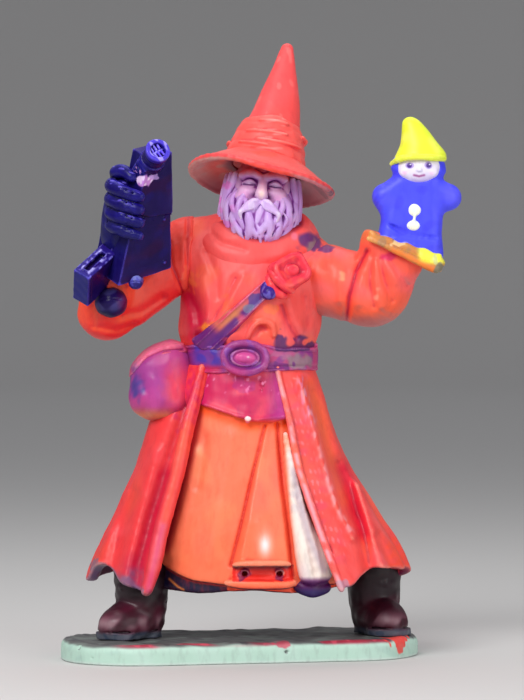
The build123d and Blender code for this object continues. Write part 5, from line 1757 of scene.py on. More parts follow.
def shape_gun_body():
    clay = Clay((-9.4, -9.8, 25.0), (-3.4, -1.9, 36.0), 0.055)
    u, v, w = gun.local(clay.x, clay.y, clay.z)
    face = prism(u, w, [(0, 0), (4.1, 1.3), (2.0, 9.75), (0.2, 9.3)])
    d = both(face, np.abs(v - 0.85) - 0.85, 0.1)
    upper = prism(u, w, [(0.15, 5.0), (3.2, 5.25), (2.05, 9.8), (0.15, 9.35)])
    d = join(d, both(upper, np.abs(v - 0.8) - 0.98, 0.12), 0.05)
    d = carve(d, both(np.abs(line_height(u, w)) - 0.04, v - 0.02, 0.03), 0.05)
    panel = prism(u, w, [(0.55, 1.0), (3.2, 1.9), (2.75, 4.4), (0.55, 4.4)], 0.05)
    d = carve(d, both(np.abs(panel) - 0.02, v - 0.02, 0.03), 0.05)
    clay.d = d.astype(np.float32)
    clay.stroke([gun.world(3.75, 0.9, 1.5), gun.world(4.15, 0.9, 1.75)], (0.3, 0.16), 0.12)
    clay.stroke([gun.world(2.95, 0.4, 5.6), gun.world(2.75, 0.4, 6.6)], (0.2, 0.16), 0.1)
    for cu, cw in ((0.95, 4.85), (2.6, 4.9), (3.35, 1.75)):
        clay.blob(gun.world(cu, 0.0, cw), (0.15, 0.15, 0.15), 0.05)
    clay.stroke([gun.world(1.2, -0.02, 8.0), gun.world(2.1, -0.02, 8.1)], (0.16, 0.14), 0.06)
    clay.roughen(0.012, 0.9, 202)
    return clay


def line_height(u, w):
    return w - 5.05 - 0.35 * np.abs(u - 1.4) * 0.5


def paint_gun_body(s):
    paint_gun(s)
    u, _, w = gun.local(s.x, s.y, s.z)
    chip = s.blot(gun.world(0.25, -0.1, 7.7), (0.7, 0.9, 0.45), 203, ragged=0.35, size=0.6)
    s.wash(chip, (206, 140, 216), 0.95)
    s.wash(chip * s.mottle(0.4, 204, 0.1, 0.5), (240, 214, 244), 0.9)
    s.wash(s.blot(gun.world(1.0, -0.1, 8.0), (0.35, 0.6, 0.2), 205, ragged=0.4, size=0.4),
           (196, 160, 226), 0.8)
    s.wash(hill(u, 2.9, 0.4) * hill(w, 7.0, 1.2), (76, 84, 150), 0.4)
    s.wash(smooth_step(w, 1.6, 0.4) * smooth_step(u, 1.0, 2.5), (92, 14, 96), 0.6)


to_object("gun_body_cast", shape_gun_body(), paint_gun_body, gun_blue, ["gun_body"])


def shape_gun_block():
    clay = Clay((-10.4, -7.2, 25.0), (-5.4, -3.0, 30.9), 0.05)
    u, v, w = gun.local(clay.x, clay.y, clay.z)
    face = prism(u, w, [(-0.05, 0.35), (3.2, 1.4), (3.0, 2.9), (-0.05, 2.95)])
    d = both(face, np.abs(v - 2.45) - 0.87, 0.1)
    rib = both(np.abs(np.abs(w - 2.0) - 0.4) - 0.08, u - 0.04, 0.03)
    d = carve(d, both(rib, np.abs(v - 2.45) - 0.6, 0.03), 0.03)
    step = rounded_box(u - 0.2, v - 2.35, w - 2.95, (0.55, 0.6, 0.35), 0.12)
    clay.d = join(d, step, 0.05).astype(np.float32)
    clay.roughen(0.012, 0.8, 206)
    return clay


to_object("gun_block_cast", shape_gun_block(), paint_gun, gun_blue, ["gun_block"])

magazine = Axes((-9.7, -5.1, 26.9), (0.58, 0.58, 0.57), (0.063, -0.732, 0.678))


def shape_gun_magazine():
    clay = Clay((-12.1, -7.8, 24.4), (-7.7, -2.6, 29.6), 0.045)
    u, v, w = magazine.local(clay.x, clay.y, clay.z)
    d = rounded_box(u, v, w, (1.98, 0.66, 1.42), 0.1)
    slot = rounded_box(u + 0.45, v, w - 1.42, (1.0, 0.22, 0.32), 0.06)
    d = carve(d, slot, 0.04)
    lip = rounded_box(u + 0.45, v, w - 1.42, (1.14, 0.34, 0.07), 0.05)
    d = join(d, carve(lip, slot, 0.02), 0.03)
    groove = both(np.abs(u + 1.62) - 0.05, -(np.abs(v) - 0.6), 0.03)
    d = carve(d, both(groove, np.abs(w) - 1.1, 0.05), 0.03)
    clay.d = d.astype(np.float32)
    clay.roughen(0.01, 0.7, 207)
    return clay


def paint_gun_magazine(s):
    paint_gun(s, 208)
    u, v, w = magazine.local(s.x, s.y, s.z)
    # Painted light: the top face is bluer and lighter, with pale highlights on its rim and corners and a lighter
    # end face.
    top = smooth_step(w, 1.2, 1.38)
    s.wash(top, (34, 16, 120), 0.7)
    rim = hill(np.abs(v), 0.32, 0.12) * top * smooth_step(np.abs(u + 0.45), 1.4, 1.1)
    s.wash(rim * s.mottle(0.5, 209, -0.5, 0.3), (190, 186, 250), 0.95)
    corner = smooth_step(w, 1.25, 1.4) * smooth_step(np.abs(v), 0.5, 0.66)
    s.wash(corner * s.mottle(0.6, 210, -0.2, 0.5), (150, 150, 245), 0.9)
    s.wash(smooth_step(-u, 1.7, 1.95), (40, 46, 130), 0.6)


to_object("gun_magazine_cast", shape_gun_magazine(), paint_gun_magazine, gun_blue,
          ["gun_magazine"])


def shape_gun_ball():
    clay = Clay((-10.6, -5.6, 23.4), (-7.6, -2.6, 26.2), 0.045)
    clay.blob((-8.87, -4.1, 24.82), (1.14, 1.1, 1.05), 0.05)
    clay.stroke([(-9.7, -4.9, 25.0), (-8.9, -5.25, 25.1), (-8.1, -4.9, 25.0)], (0.02, 0.07, 0.02),
                0.08, dig=True)
    clay.roughen(0.02, 0.9, 211)
    return clay


def paint_gun_ball(s):
    s.fill((28, 14, 74))
    s.wash(s.mottle(0.9, 212, 0.0, 0.8), (70, 66, 120), 0.7)
    # Painted reflection of the red cloth on the side facing +X.
    s.wash(smooth_step(s.n[:, 0], 0.2, 0.9), (120, 14, 60), 0.7)
    # Painted shade on the underside.
    s.wash(smooth_step(-s.n[:, 2], 0.2, 0.9), (16, 20, 60), 0.6)


to_object("gun_end_ball_cast", shape_gun_ball(), paint_gun_ball, gun_blue,
          ["gun_end_ball"])


def shape_gun_knob():
    clay = Clay((-8.0, -6.4, 25.2), (-6.2, -4.6, 27.2), 0.035)
    clay.blob((-7.12, -5.5, 26.2), (0.5, 0.48, 0.5), 0.05)
    clay.stroke([(-7.12, -5.4, 26.2), (-7.0, -4.9, 26.3)], (0.42, 0.42), 0.1)
    clay.stroke([(-7.5, -5.85, 26.2), (-7.1, -6.02, 26.25), (-6.75, -5.85, 26.2)],
                (0.02, 0.05, 0.02), 0.04, dig=True)
    clay.roughen(0.01, 0.4, 213)
    return clay


def paint_gun_knob(s):
    s.fill((40, 34, 110))
    # Painted highlight on the upward-facing top.
    s.wash(smooth_step(s.n[:, 2], -0.2, 0.7), (140, 146, 226), 0.85)
    s.wash(s.mottle(0.35, 214, 0.2, 0.7), (80, 76, 180), 0.6)


to_object("gun_knob_cast", shape_gun_knob(), paint_gun_knob, gun_blue, ["gun_knob"])


def shape_gun_barrel():
    clay = Clay((-7.9, -11.2, 33.7), (-3.9, -7.2, 37.3), 0.04)
    u, v, w = barrel.local(clay.x, clay.y, clay.z)
    r = np.sqrt(u * u + v * v)
    tube = both(r - 0.78, np.maximum(w, -1.35 - w), 0.1)
    ring = both(np.abs(r - 0.68) - 0.17, np.abs(w + 0.18) - 0.24, 0.1)
    tube = join(tube, ring, 0.05)
    tube = carve(tube, both(r - 0.53, -0.42 - w, 0.05), 0.05)
    clay.d = carve(tube, both(np.abs(w + 0.78) - 0.06, 0.74 - r, 0.04), 0.05).astype(np.float32)
    clay.roughen(0.012, 0.6, 215)
    return clay


def paint_gun_barrel(s):
    paint_gun(s, 216)
    u, v, w = barrel.local(s.x, s.y, s.z)
    r = np.sqrt(u * u + v * v)
    # Painted light: lighter towards the muzzle end, with a pale highlight on the rim.
    s.wash(smooth_step(w, -0.6, -0.3), (44, 30, 160), 0.7)
    s.wash(smooth_step(w, -0.2, 0.0) * smooth_step(r, 0.48, 0.6), (80, 66, 210), 0.8)
    rim = smooth_step(w, -0.1, 0.03) * s.mottle(0.5, 217, 0.0, 0.6)
    s.wash(rim, (190, 180, 250), 0.8)
    # Painted shade inside the bore.
    s.wash(smooth_step(r, 0.54, 0.44), (22, 4, 120), 0.9)


to_object("gun_barrel_cast", shape_gun_barrel(), paint_gun_barrel, gun_blue,
          ["gun_barrel"])


def shape_muzzle_grille():
    clay = Clay((-7.3, -10.8, 34.2), (-4.3, -8.2, 36.7), 0.03)
    for across in (-0.28, 0.0, 0.28):
        half = math.sqrt(0.5**2 - across**2)
        for a, b in ((-half, -0.12), (0.12, half)):
            line = [barrel.world(across, a, -0.2), barrel.world(across, b, -0.2)]
            clay.stroke(line, (0.08, 0.08), 0.03)
        clay.stroke([barrel.world(across, -0.16, -0.28), barrel.world(across, 0.16, -0.28)],
                    (0.08, 0.08), 0.03)
    clay.stroke([barrel.world(-0.45, 0, -0.34), barrel.world(0.45, 0, -0.34)], (0.08, 0.08), 0.03)
    clay.roughen(0.01, 0.4, 218)
    return clay


def paint_grille(s):
    s.fill((96, 80, 236))
    # Painted highlight on faces turned out of the muzzle.
    s.wash(smooth_step(s.n @ barrel.w, 0.2, 0.9), (176, 168, 250), 0.8)
    s.wash(s.mottle(0.4, 219, 0.0, 0.6), (70, 40, 220), 0.6)


to_object("muzzle_grille_cast", shape_muzzle_grille(), paint_grille, gun_blue,
          ["muzzle_grille"])


def shape_gun_slide():
    clay = Clay((-8.9, -10.2, 32.3), (-4.4, -4.6, 36.7), 0.05)
    u, v, w = barrel.local(clay.x, clay.y, clay.z)
    r = np.sqrt(u * u + v * v)
    tube = both(r - 0.88, np.maximum(w + 1.22, -4.45 - w), 0.14)
    cheek = rounded_box(u, v, w + 2.9, (0.95, 0.55, 1.5), 0.16)
    tube = join(tube, cheek, 0.08)
    for place in (-2.0, -2.35, -2.7, -3.9):
        tube = carve(tube, both(np.abs(w - place) - 0.05, 0.84 - r, 0.03), 0.04)
    clay.d = tube.astype(np.float32)
    clay.roughen(0.012, 0.8, 220)
    return clay


def paint_gun_slide(s):
    paint_gun(s, 221)
    # Painted light on the sides facing -X.
    s.wash(smooth_step(-s.n[:, 0], 0.1, 0.7), (30, 24, 140), 0.6)
    chip = s.blot((-7.1, -8.0, 33.4), (0.6, 0.9, 0.35), 222, ragged=0.6, size=0.4)
    s.wash(chip, (206, 150, 220), 0.9)


to_object("gun_slide_cast", shape_gun_slide(), paint_gun_slide, gun_blue,
          ["gun_slide"])


# ------------------------------------------------------------------------------ gloved fist
def shape_fist():
    clay = Clay((-10.6, -9.6, 27.4), (-5.6, -2.9, 34.9), 0.05)
    clay.stroke([(-8.3, -4.6, 28.9), (-8.35, -5.5, 30.2), (-7.9, -6.3, 31.6)], (1.05, 0.95, 1.15),
                0.4)
    clay.stroke([(-8.1, -6.6, 30.4), (-7.9, -6.8, 32.4)], (0.85, 0.8), 0.4)
    heart = np.array((-7.4, -6.7, 31.4))
    for finger in range(4):
        drop = np.array((-0.02, 0.2, -0.88)) * finger
        wide = (0.98, 1.04, 1.0, 0.9)[finger]
        line = [np.array(p) + drop for p in (
            (-7.9, -5.7, 32.75), (-8.6, -6.35, 32.85), (-8.62, -7.3, 32.7), (-7.85, -8.15, 32.3),
                                             (-6.75, -8.45, 31.95),
        )]
        clay.stroke(line,
                    (0.42 * wide, 0.5 * wide, 0.46 * wide, 0.5 * wide, 0.44 * wide, 0.38 * wide),
                    0.08)
        for spot, size in ((1, 0.26), (3, 0.24)):
            outward = unit(line[spot] - heart - drop)
            clay.blob(line[spot] + outward * 0.3 * wide, (size, size, size * 0.85), 0.16)
        crook = line[2] + unit(line[2] - heart - drop) * 0.48 * wide
        side = np.array((0.0, -0.15, 0.4))
        clay.stroke([crook - side, crook, crook + side], (0.02, 0.06, 0.02), 0.08, dig=True)
        for turn_in in (0.32, 0.68):
            rim = line[3] * (1 - turn_in) + line[4] * turn_in + unit(line[3] - heart - drop) * 0.44
            clay.stroke([rim - side, rim, rim + side], (0.01, 0.035, 0.01), 0.06, dig=True)
    thumb = [(-8.2, -5.7, 33.1), (-8.35, -6.5, 33.65), (-7.85, -7.3, 33.7), (-7.3, -7.85, 33.3)]
    clay.stroke(thumb, (0.42, 0.48, 0.44, 0.34), 0.1)
    clay.stroke([(-8.0, -6.0, 33.7), (-8.15, -6.9, 33.95)], (0.2, 0.16), 0.12)
    clay.roughen(0.018, 0.8, 231)
    return clay


def paint_fist(s):
    s.fill((16, 6, 88))
    s.wash(s.mottle(1.2, 232, -0.1, 0.8), (26, 18, 118), 0.7)
    # Painted shade between the fingers.
    s.wash(s.sunk(0.02, 0.2), (6, 2, 56), 0.9)
    # Painted light on upward-facing surfaces.
    s.wash(smooth_step(s.n[:, 2], 0.5, 0.95), (56, 46, 176), 0.6)
    shine = smooth_step(waves(s.x, s.y, s.z * 2, 0.55, 233), 0.45,
                        0.85) * smooth_step(s.n[:, 2], 0.1, 0.6)
    s.wash(shine, (128, 116, 236), 0.7)
    s.wash(smooth_step(s.z, 31.0, 29.6), (20, 20, 84), 0.6)


to_object("gun_fist_glove", shape_fist(), paint_fist, glove_blue, ["gun_fist"])


# ------------------------------------------------------------------------------ glove puppet
PUPPET_Y = -1.9


def flat_line(x, z, a, b, ra, rb):
    """Distance in the x-z plane to a tapering rod."""
    du, dw = b[0] - a[0], b[1] - a[1]
    t = np.clip(((x - a[0]) * du + (z - a[1]) * dw) / (du * du + dw * dw), 0, 1)
    return np.sqrt((x - a[0] - du * t) ** 2 + (z - a[1] - dw * t) ** 2) - (ra + (rb - ra) * t)


def puffed(flat, y, centre, half, rounding):
    """A flat outline given thickness with well-rounded edges."""
    qa, qb = flat + rounding, np.abs(y - centre) - half + rounding
    outside = np.sqrt(np.maximum(qa, 0) ** 2 + np.maximum(qb, 0) ** 2)
    return outside + np.minimum(np.maximum(qa, qb), 0) - rounding


HEM_SLOPE = -0.343


def shape_puppet_body():
    clay = Clay((8.3, -3.7, 27.4), (16.1, -0.1, 36.0), 0.05)
    x, y, z = clay.x, clay.y, clay.z
    outline = flat_line(x, z, (12.15, 32.2), (11.95, 30.6), 1.9, 2.05)
    outline = join(outline, flat_line(x, z, (11.95, 30.6), (11.75, 28.4), 2.05, 2.4), 0.3)
    outline = join(outline, flat_line(x, z, (10.2, 32.15), (12.0, 32.6), 1.0, 1.3), 0.7)
    outline = join(outline, flat_line(x, z, (14.45, 32.15), (12.6, 32.45), 0.95, 1.3), 0.7)
    outline = join(outline, flat_line(x, z, (12.4, 34.0), (12.35, 33.2), 1.9, 1.5), 0.35)
    outline = both(outline, z - 35.0, 0.3)
    hem = (28.95 + HEM_SLOPE * (x - 9.0)) - z
    outline = both(outline, hem, 0.2)
    body = puffed(outline, y, PUPPET_Y, 1.15, 0.85)
    pocket = ellipsoid(x, y, z, (12.4, -3.3, 34.15), (1.55, 0.75, 1.05))
    clay.d = carve(body, pocket, 0.12).astype(np.float32)
    clay.stroke([(10.4, -2.9, 30.2), (11.6, -3.15, 29.6), (13.6, -3.0, 29.3)], (0.02, 0.08, 0.02),
                0.3, dig=True)
    clay.roughen(0.02, 1.5, 241)
    return clay


def paint_puppet_body(s):
    s.fill((74, 78, 252))
    s.wash(s.mottle(2.4, 242, 0.0, 1.0), (96, 92, 255), 0.6)
    s.wash(s.mottle(1.6, 243, 0.3, 1.0), (62, 60, 232), 0.5)
    # Painted shade in the hollows.
    s.wash(smooth_step(s.hollow, 0.05, 0.35), (54, 44, 200), 0.6)
    # Painted highlight along the lower edge.
    rim = s.line([(9.8, 29.4), (11.4, 28.9), (12.6, 28.4)], 0.18) * (s.y < -2)
    s.wash(rim * s.mottle(0.5, 244, 0.1, 0.5), (160, 170, 255), 0.8)


to_object("puppet_body_glove", shape_puppet_body(), paint_puppet_body, doll_blue,
          ["puppet_body"])


def shape_puppet_head():
    clay = Clay((10.1, -4.1, 32.4), (14.7, -0.9, 35.9), 0.035)
    clay.blob((12.4, -2.45, 34.15), (1.62, 1.05, 1.18), 0.1)
    clay.blob((12.4, -3.48, 34.0), (0.2, 0.16, 0.16), 0.1)
    for side in (-1, 1):
        clay.blob((12.4 + 0.66 * side, -3.2, 34.28), (0.26, 0.2, 0.24), 0.12)
        clay.blob((12.4 + 0.95 * side, -3.05, 33.8), (0.36, 0.26, 0.28), 0.2)
    clay.stroke([(12.1, -3.42, 33.62), (12.4, -3.5, 33.56), (12.7, -3.42, 33.62)],
                (0.04, 0.06, 0.04), 0.06, dig=True)
    clay.roughen(0.012, 0.9, 251)
    return clay


def paint_puppet_head(s):
    s.fill((236, 228, 250))
    s.wash(s.mottle(1.3, 252, 0.0, 0.9), (222, 206, 246), 0.6)
    # Painted shade under the chin.
    s.wash(smooth_step(s.z, 33.5, 33.0), (170, 150, 230), 0.7)
    for side in (-1, 1):
        s.wash(s.blot((12.4 + 0.66 * side, -3.3, 34.3), (0.32, 0.8, 0.27), 253, ragged=0.12,
                      size=0.5), (150, 120, 214), 0.7)
        s.wash(s.blot((12.4 + 0.66 * side, -3.3, 34.29), (0.2, 0.8, 0.19), 254, ragged=0.08,
                      size=0.4), (62, 30, 130), 0.95)
        # Painted highlight: a white catchlight in each eye.
        s.wash(s.blot((12.46 + 0.66 * side, -3.3, 34.36), (0.06, 0.8, 0.06), 255, ragged=0.0),
               (250, 250, 255), 0.9)
        s.wash(s.blot((12.4 + 1.0 * side, -3.1, 33.8), (0.34, 0.8, 0.24), 256, soft=0.7),
               (238, 172, 214), 0.6)
    mouth = s.line([(12.05, 33.62), (12.4, 33.54), (12.75, 33.62)], 0.075) * (s.y < -2.5)
    s.wash(mouth, (150, 60, 130), 0.85)


to_object("puppet_head_sculpt", shape_puppet_head(), paint_puppet_head, doll_white,
          ["puppet_head"])


def shape_puppet_cap():
    clay = Clay((9.8, -4.0, 33.6), (15.0, 0.2, 38.4), 0.05)
    x, y, z = clay.x, clay.y, clay.z
    left = curve(z, (33.6, 10.2), (34.4, 10.5), (35.0, 10.8), (35.7, 11.1), (36.4, 11.22),
                 (37.2, 11.28), (38.4, 11.4))
    right = curve(z, (33.6, 14.3), (34.5, 14.3), (35.1, 14.35), (35.8, 13.85), (36.7, 13.15),
                  (37.3, 12.65), (38.4, 12.0))
    middle, half = (left + right) / 2, (right - left) / 2
    deep = half * 0.86
    u, v = (x - middle) / half, (y - PUPPET_Y) / deep
    rho = np.sqrt(u * u + v * v) + 1e-6
    slope = np.sqrt((u / (half * rho)) ** 2 + (v / (deep * rho)) ** 2)
    cone = (rho - 1) / slope * 0.92
    cone = both(cone, z - 37.75, 0.55)
    brow = 34.72 + 0.12 * np.sin(2.4 * (x - 12.0)) - 0.42 * smooth_step(x, 11.3, 10.4)
    brow = brow - 0.3 * smooth_step(y, -2.2, -0.6)
    clay.d = both(cone, brow - z, 0.2).astype(np.float32)
    rim = [(10.55, -2.3, 34.45), (10.95, -3.1, 34.7), (11.8, -3.6, 34.86), (12.8, -3.6, 34.86),
           (13.7, -3.15, 34.8),
           (14.2, -2.3, 34.8)]
    clay.stroke(rim, (0.14, 0.2, 0.2, 0.16), 0.12)
    clay.roughen(0.025, 1.4, 261)
    return clay


def paint_puppet_cap(s):
    s.fill((235, 250, 58))
    s.wash(s.mottle(1.8, 262, 0.0, 1.0), (250, 255, 120), 0.6)
    s.wash(s.mottle(1.3, 263, 0.4, 1.0), (228, 226, 62), 0.5)
    s.wash(smooth_step(s.z, 34.75, 34.5) * s.mottle(0.6, 264, -0.3, 0.5), (236, 240, 180), 0.6)


to_object("puppet_cap_sculpt", shape_puppet_cap(), paint_puppet_cap, doll_yellow,
          ["puppet_cap"])


def shape_puppet_buttons():
    clay = Clay((11.3, -3.5, 29.3), (12.9, -2.7, 32.0), 0.03)
    clay.blob((12.1, -3.02, 31.22), (0.44, 0.18, 0.44), 0.05)
    clay.blob((12.02, -3.02, 30.15), (0.46, 0.17, 0.36), 0.05)
    clay.stroke([(12.13, -3.04, 30.9), (12.06, -3.04, 30.5)], (0.12, 0.07), 0.1)
    clay.roughen(0.012, 0.5, 265)
    return clay


def paint_buttons(s):
    s.fill((246, 246, 226))
    s.wash(s.mottle(0.6, 266, 0.2, 0.8), (214, 226, 236), 0.6)


to_object("puppet_buttons_sculpt", shape_puppet_buttons(), paint_buttons, doll_white,
          ["puppet_buttons"])


def shape_puppet_hem():
    clay = Clay((8.2, -4.0, 26.2), (14.9, 0.3, 30.5), 0.045)
    x, y, z = clay.x, clay.y, clay.z
    t = (x - 9.0) / 4.9
    top = 29.75 - 1.55 * t + 0.07 * np.sin(5 * x)
    bottom = 29.15 - 2.2 * t + 0.09 * np.sin(4 * x + 1)
    outline = both(both(z - top, bottom - z, 0.1) * 0.94, np.abs(x - 11.5) - 2.55, 0.3)
    band = puffed(outline, y, PUPPET_Y, 1.38, 0.4)
    clay.d = carve(band, puffed(outline + 0.1, y, PUPPET_Y, 0.5, 0.2), 0.05).astype(np.float32)
    for fx, size in ((12.75, 0.62), (13.55, 0.55), (13.85, 0.4)):
        fz = 29.3 - 1.75 * (fx - 9.0) / 4.9
        clay.blob((fx, -2.85, fz), (size, 0.55, size * 0.85), 0.12)
    edge = [(8.95, -3.05, 29.25), (10.2, -3.3, 28.7), (11.5, -3.35, 28.1), (12.7, -3.3, 27.5),
            (13.6, -3.1, 27.1)]
    clay.stroke(edge, (0.16, 0.2, 0.22, 0.26, 0.26), 0.12)
    clay.roughen(0.03, 0.9, 267)
    return clay


def paint_puppet_hem(s):
    s.fill((204, 130, 70))
    s.wash(s.mottle(0.9, 268, -0.1, 0.7), (160, 120, 90), 0.7)
    s.wash(smooth_step(s.x, 9.6, 9.0), (236, 150, 70), 0.8)
    s.wash(s.blot((11.0, -3.2, 28.9), (0.55, 1.0, 0.25), 269), (240, 206, 150), 0.8)
    s.wash(smooth_step(s.x, 12.1, 12.6) * smooth_step(s.z, 27.3, 27.7), (244, 244, 74), 0.95)
    lower = s.line([(10.6, 28.4), (11.7, 27.95), (12.7, 27.4), (13.3, 27.1)], 0.22)
    s.wash(lower, (248, 122, 44), 0.85)
    s.wash(s.blot((13.75, -2.8, 27.15), (0.55, 1.5, 0.45), 270), (120, 116, 100), 0.9)
    s.wash(s.blot((13.5, -3.2, 27.9), (0.2, 0.8, 0.35), 271), (200, 206, 150), 0.7)


to_object("puppet_hem_sculpt", shape_puppet_hem(), paint_puppet_hem, doll_yellow,
          ["puppet_hem"])


# ------------------------------------------------------------------------------ boots
def shape_boot(heel, turn, seed):
    toward = np.array((math.sin(math.radians(turn)), -math.cos(math.radians(turn)), 0.0))
    aside = np.array((math.cos(math.radians(turn)), math.sin(math.radians(turn)), 0.0))
    heel = np.array(heel)
    toe = heel + toward * 2.65
    low = np.minimum(heel, toe) - (2.6, 2.6, 0)
    high = np.maximum(heel, toe) + (2.6, 2.6, 5.9)
    clay = Clay(low - (0, 0, 0.3), high, 0.06)
    x, y, z = clay.x, clay.y, clay.z

    def at(forward, side, up):
        return heel + toward * forward + aside * side + np.array((0, 0, up))

    clay.stroke([at(0, 0, 5.4), at(-0.05, 0, 3.6), at(0.0, 0, 2.2), at(0.1, 0, 1.3)],
                (1.9, 1.75, 1.62, 1.4), 0.3)
    clay.stroke([at(-0.2, 0, 1.0), at(1.2, 0, 0.95), at(2.3, 0.05, 0.72)], (1.35, 1.35, 1.15), 0.5)
    clay.stroke([at(2.3, 0.05, 0.62), at(2.75, 0.0, 0.55)], (1.1, 0.85), 0.3)
    px, py = x - heel[0], y - heel[1]
    forward = px * toward[0] + py * toward[1]
    side = px * aside[0] + py * aside[1]
    width = curve(forward, (-1.9, 1.25), (0.0, 1.35), (1.0, 1.25), (2.2, 1.5), (3.6, 1.2))
    half = np.clip(forward, 0.0, 2.35)
    sole = np.sqrt((forward - half) ** 2 + side**2) - width * 1.06
    sole = both(sole, np.abs(z - heel[2] - 0.2) - 0.24, 0.1)
    heel_gap = both(np.abs(forward - 0.95) - 0.3, z - heel[2] - 0.2, 0.1)
    sole = carve(sole, heel_gap, 0.08)
    clay.d = both(clay.d, heel[2] - 0.05 - z, 0.05).astype(np.float32)
    clay.d = join(clay.d, sole, 0.05).astype(np.float32)
    welt = [at(-1.25, 0, 0.5), at(-0.4, -1.3, 0.5), at(1.2, -1.25, 0.5), at(2.6, -1.2, 0.5),
            at(3.75, 0, 0.5),
            at(2.6, 1.3, 0.5), at(1.2, 1.3, 0.5), at(-0.4, 1.35, 0.5), at(-1.25, 0, 0.5)]
    clay.stroke(welt, (0.07, 0.07), 0.06, dig=True)
    for across in ((at(0.9, -1.3, 1.7), at(1.55, 0, 2.15), at(0.9, 1.3, 1.7)),
                   (at(1.9, -1.2, 0.9), at(2.1, 0, 1.95), at(1.9, 1.25, 0.9)),
                   (at(-1.7, -0.4, 2.2), at(-1.75, 0.3, 2.5), at(-0.9, 1.4, 2.4))):
        clay.stroke(list(across), (0.05, 0.13, 0.05), 0.14, dig=True)
    clay.stroke([at(0.2, -1.65, 3.4), at(1.7, 0, 3.55), at(0.2, 1.65, 3.4)], (0.1, 0.2, 0.1), 0.2)
    clay.roughen(0.03, 1.0, seed)
    return clay


def paint_boot(s):
    s.fill((56, 12, 28))
    s.wash(s.mottle(1.5, 281, 0.0, 0.9), (86, 22, 44), 0.7)
    # Painted shade at the top of the shaft, under the robe.
    s.wash(smooth_step(s.z, 3.4, 4.6), (18, 6, 14), 0.7)
    band = hill(s.z, 2.6, 0.45) * smooth_step(-s.y, -1.5, 1.5)
    s.wash(band * s.mottle(1.2, 282, -0.5, 0.4), (168, 136, 142), 0.75)
    s.wash(smooth_step(s.z, 2.1, 1.75), (84, 110, 122), 0.7)
    s.wash(smooth_step(s.z, 2.2, 1.7) * s.mottle(0.8, 283, 0.2, 0.7), (40, 54, 76), 0.7)


to_object("boot_right_leather", shape_boot((-6.9, -0.9, 1.5), -48.0, 284), paint_boot, boot_maroon,
          ["boot_right"])
to_object("boot_left_leather", shape_boot((9.5, 2.6, 1.5), 25.0, 285), paint_boot, boot_maroon,
          ["boot_left"])


# ------------------------------------------------------------------------------ base
BASE_TURN = math.radians(13.0)          # the slab lies askew under the figure
BASE_STRAIGHT = 7.3                     # half the length between the two round ends
BASE_SCRATCHES, BASE_CHIPS = 22, 12


def shape_base():
    clay = Clay((-13.1, -8.6, -0.35), (13.1, 8.6, 1.9), 0.075)
    x, y, z = clay.x, clay.y, clay.z
    turn = BASE_TURN
    u = x * math.cos(turn) + y * math.sin(turn)
    v = -x * math.sin(turn) + y * math.cos(turn)
    along_slab = np.clip(u, -BASE_STRAIGHT, BASE_STRAIGHT)
    edge = np.sqrt((u - along_slab) ** 2 + v * v) - 5.38
    edge = edge + 0.05 * np.sin(u * 0.9) * np.cos(v * 0.7) + 0.03 * np.sin(u * 2.3 + 1)
    lumps = 0.05 * waves(x, y, 0 * x, 3.0, 291) + 0.02 * waves(x, y, 0 * x, 0.9, 292)
    top = z - 1.5 - lumps - 0.1 * smooth_step(-edge, 1.2, 0.2) + 0.12
    slab = both(edge, top, 0.7)
    slab = both(slab, -z, 0.16)
    clay.d = slab.astype(np.float32)
    rng = np.random.default_rng(293)
    for _ in range(BASE_SCRATCHES):
        su, sv = rng.uniform(-9.5, 9.5), rng.uniform(-3.6, 3.6)
        sx = su * math.cos(turn) - sv * math.sin(turn)
        sy = su * math.sin(turn) + sv * math.cos(turn)
        aim = rng.uniform(-0.5, 0.5)
        length = rng.uniform(0.3, 1.1)
        a = (sx - length * math.cos(aim), sy - length * math.sin(aim), 1.52)
        b = (sx + length * math.cos(aim), sy + length * math.sin(aim), 1.52)
        clay.stroke([a, ((a[0] + b[0]) / 2, (a[1] + b[1]) / 2 + 0.06, 1.5), b], (0.02, 0.07, 0.02),
                    0.06, dig=True)
    for _ in range(BASE_CHIPS):
        a = rng.uniform(0, 2 * math.pi)
        if abs(math.cos(a)) > 0.6:
            su = BASE_STRAIGHT * np.sign(math.cos(a)) + 5.35 * math.cos(a)
            sv = 5.35 * math.sin(a)
        else:
            su = rng.uniform(-7, 7)
            sv = 5.36 * np.sign(math.sin(a))
        sx = su * math.cos(turn) - sv * math.sin(turn)
        sy = su * math.sin(turn) + sv * math.cos(turn)
        size = rng.uniform(0.05, 0.11)
        clay.blob((sx, sy, rng.uniform(0.1, 1.3)), (size * 1.6, size, size), 0.1, dig=True)
    return clay


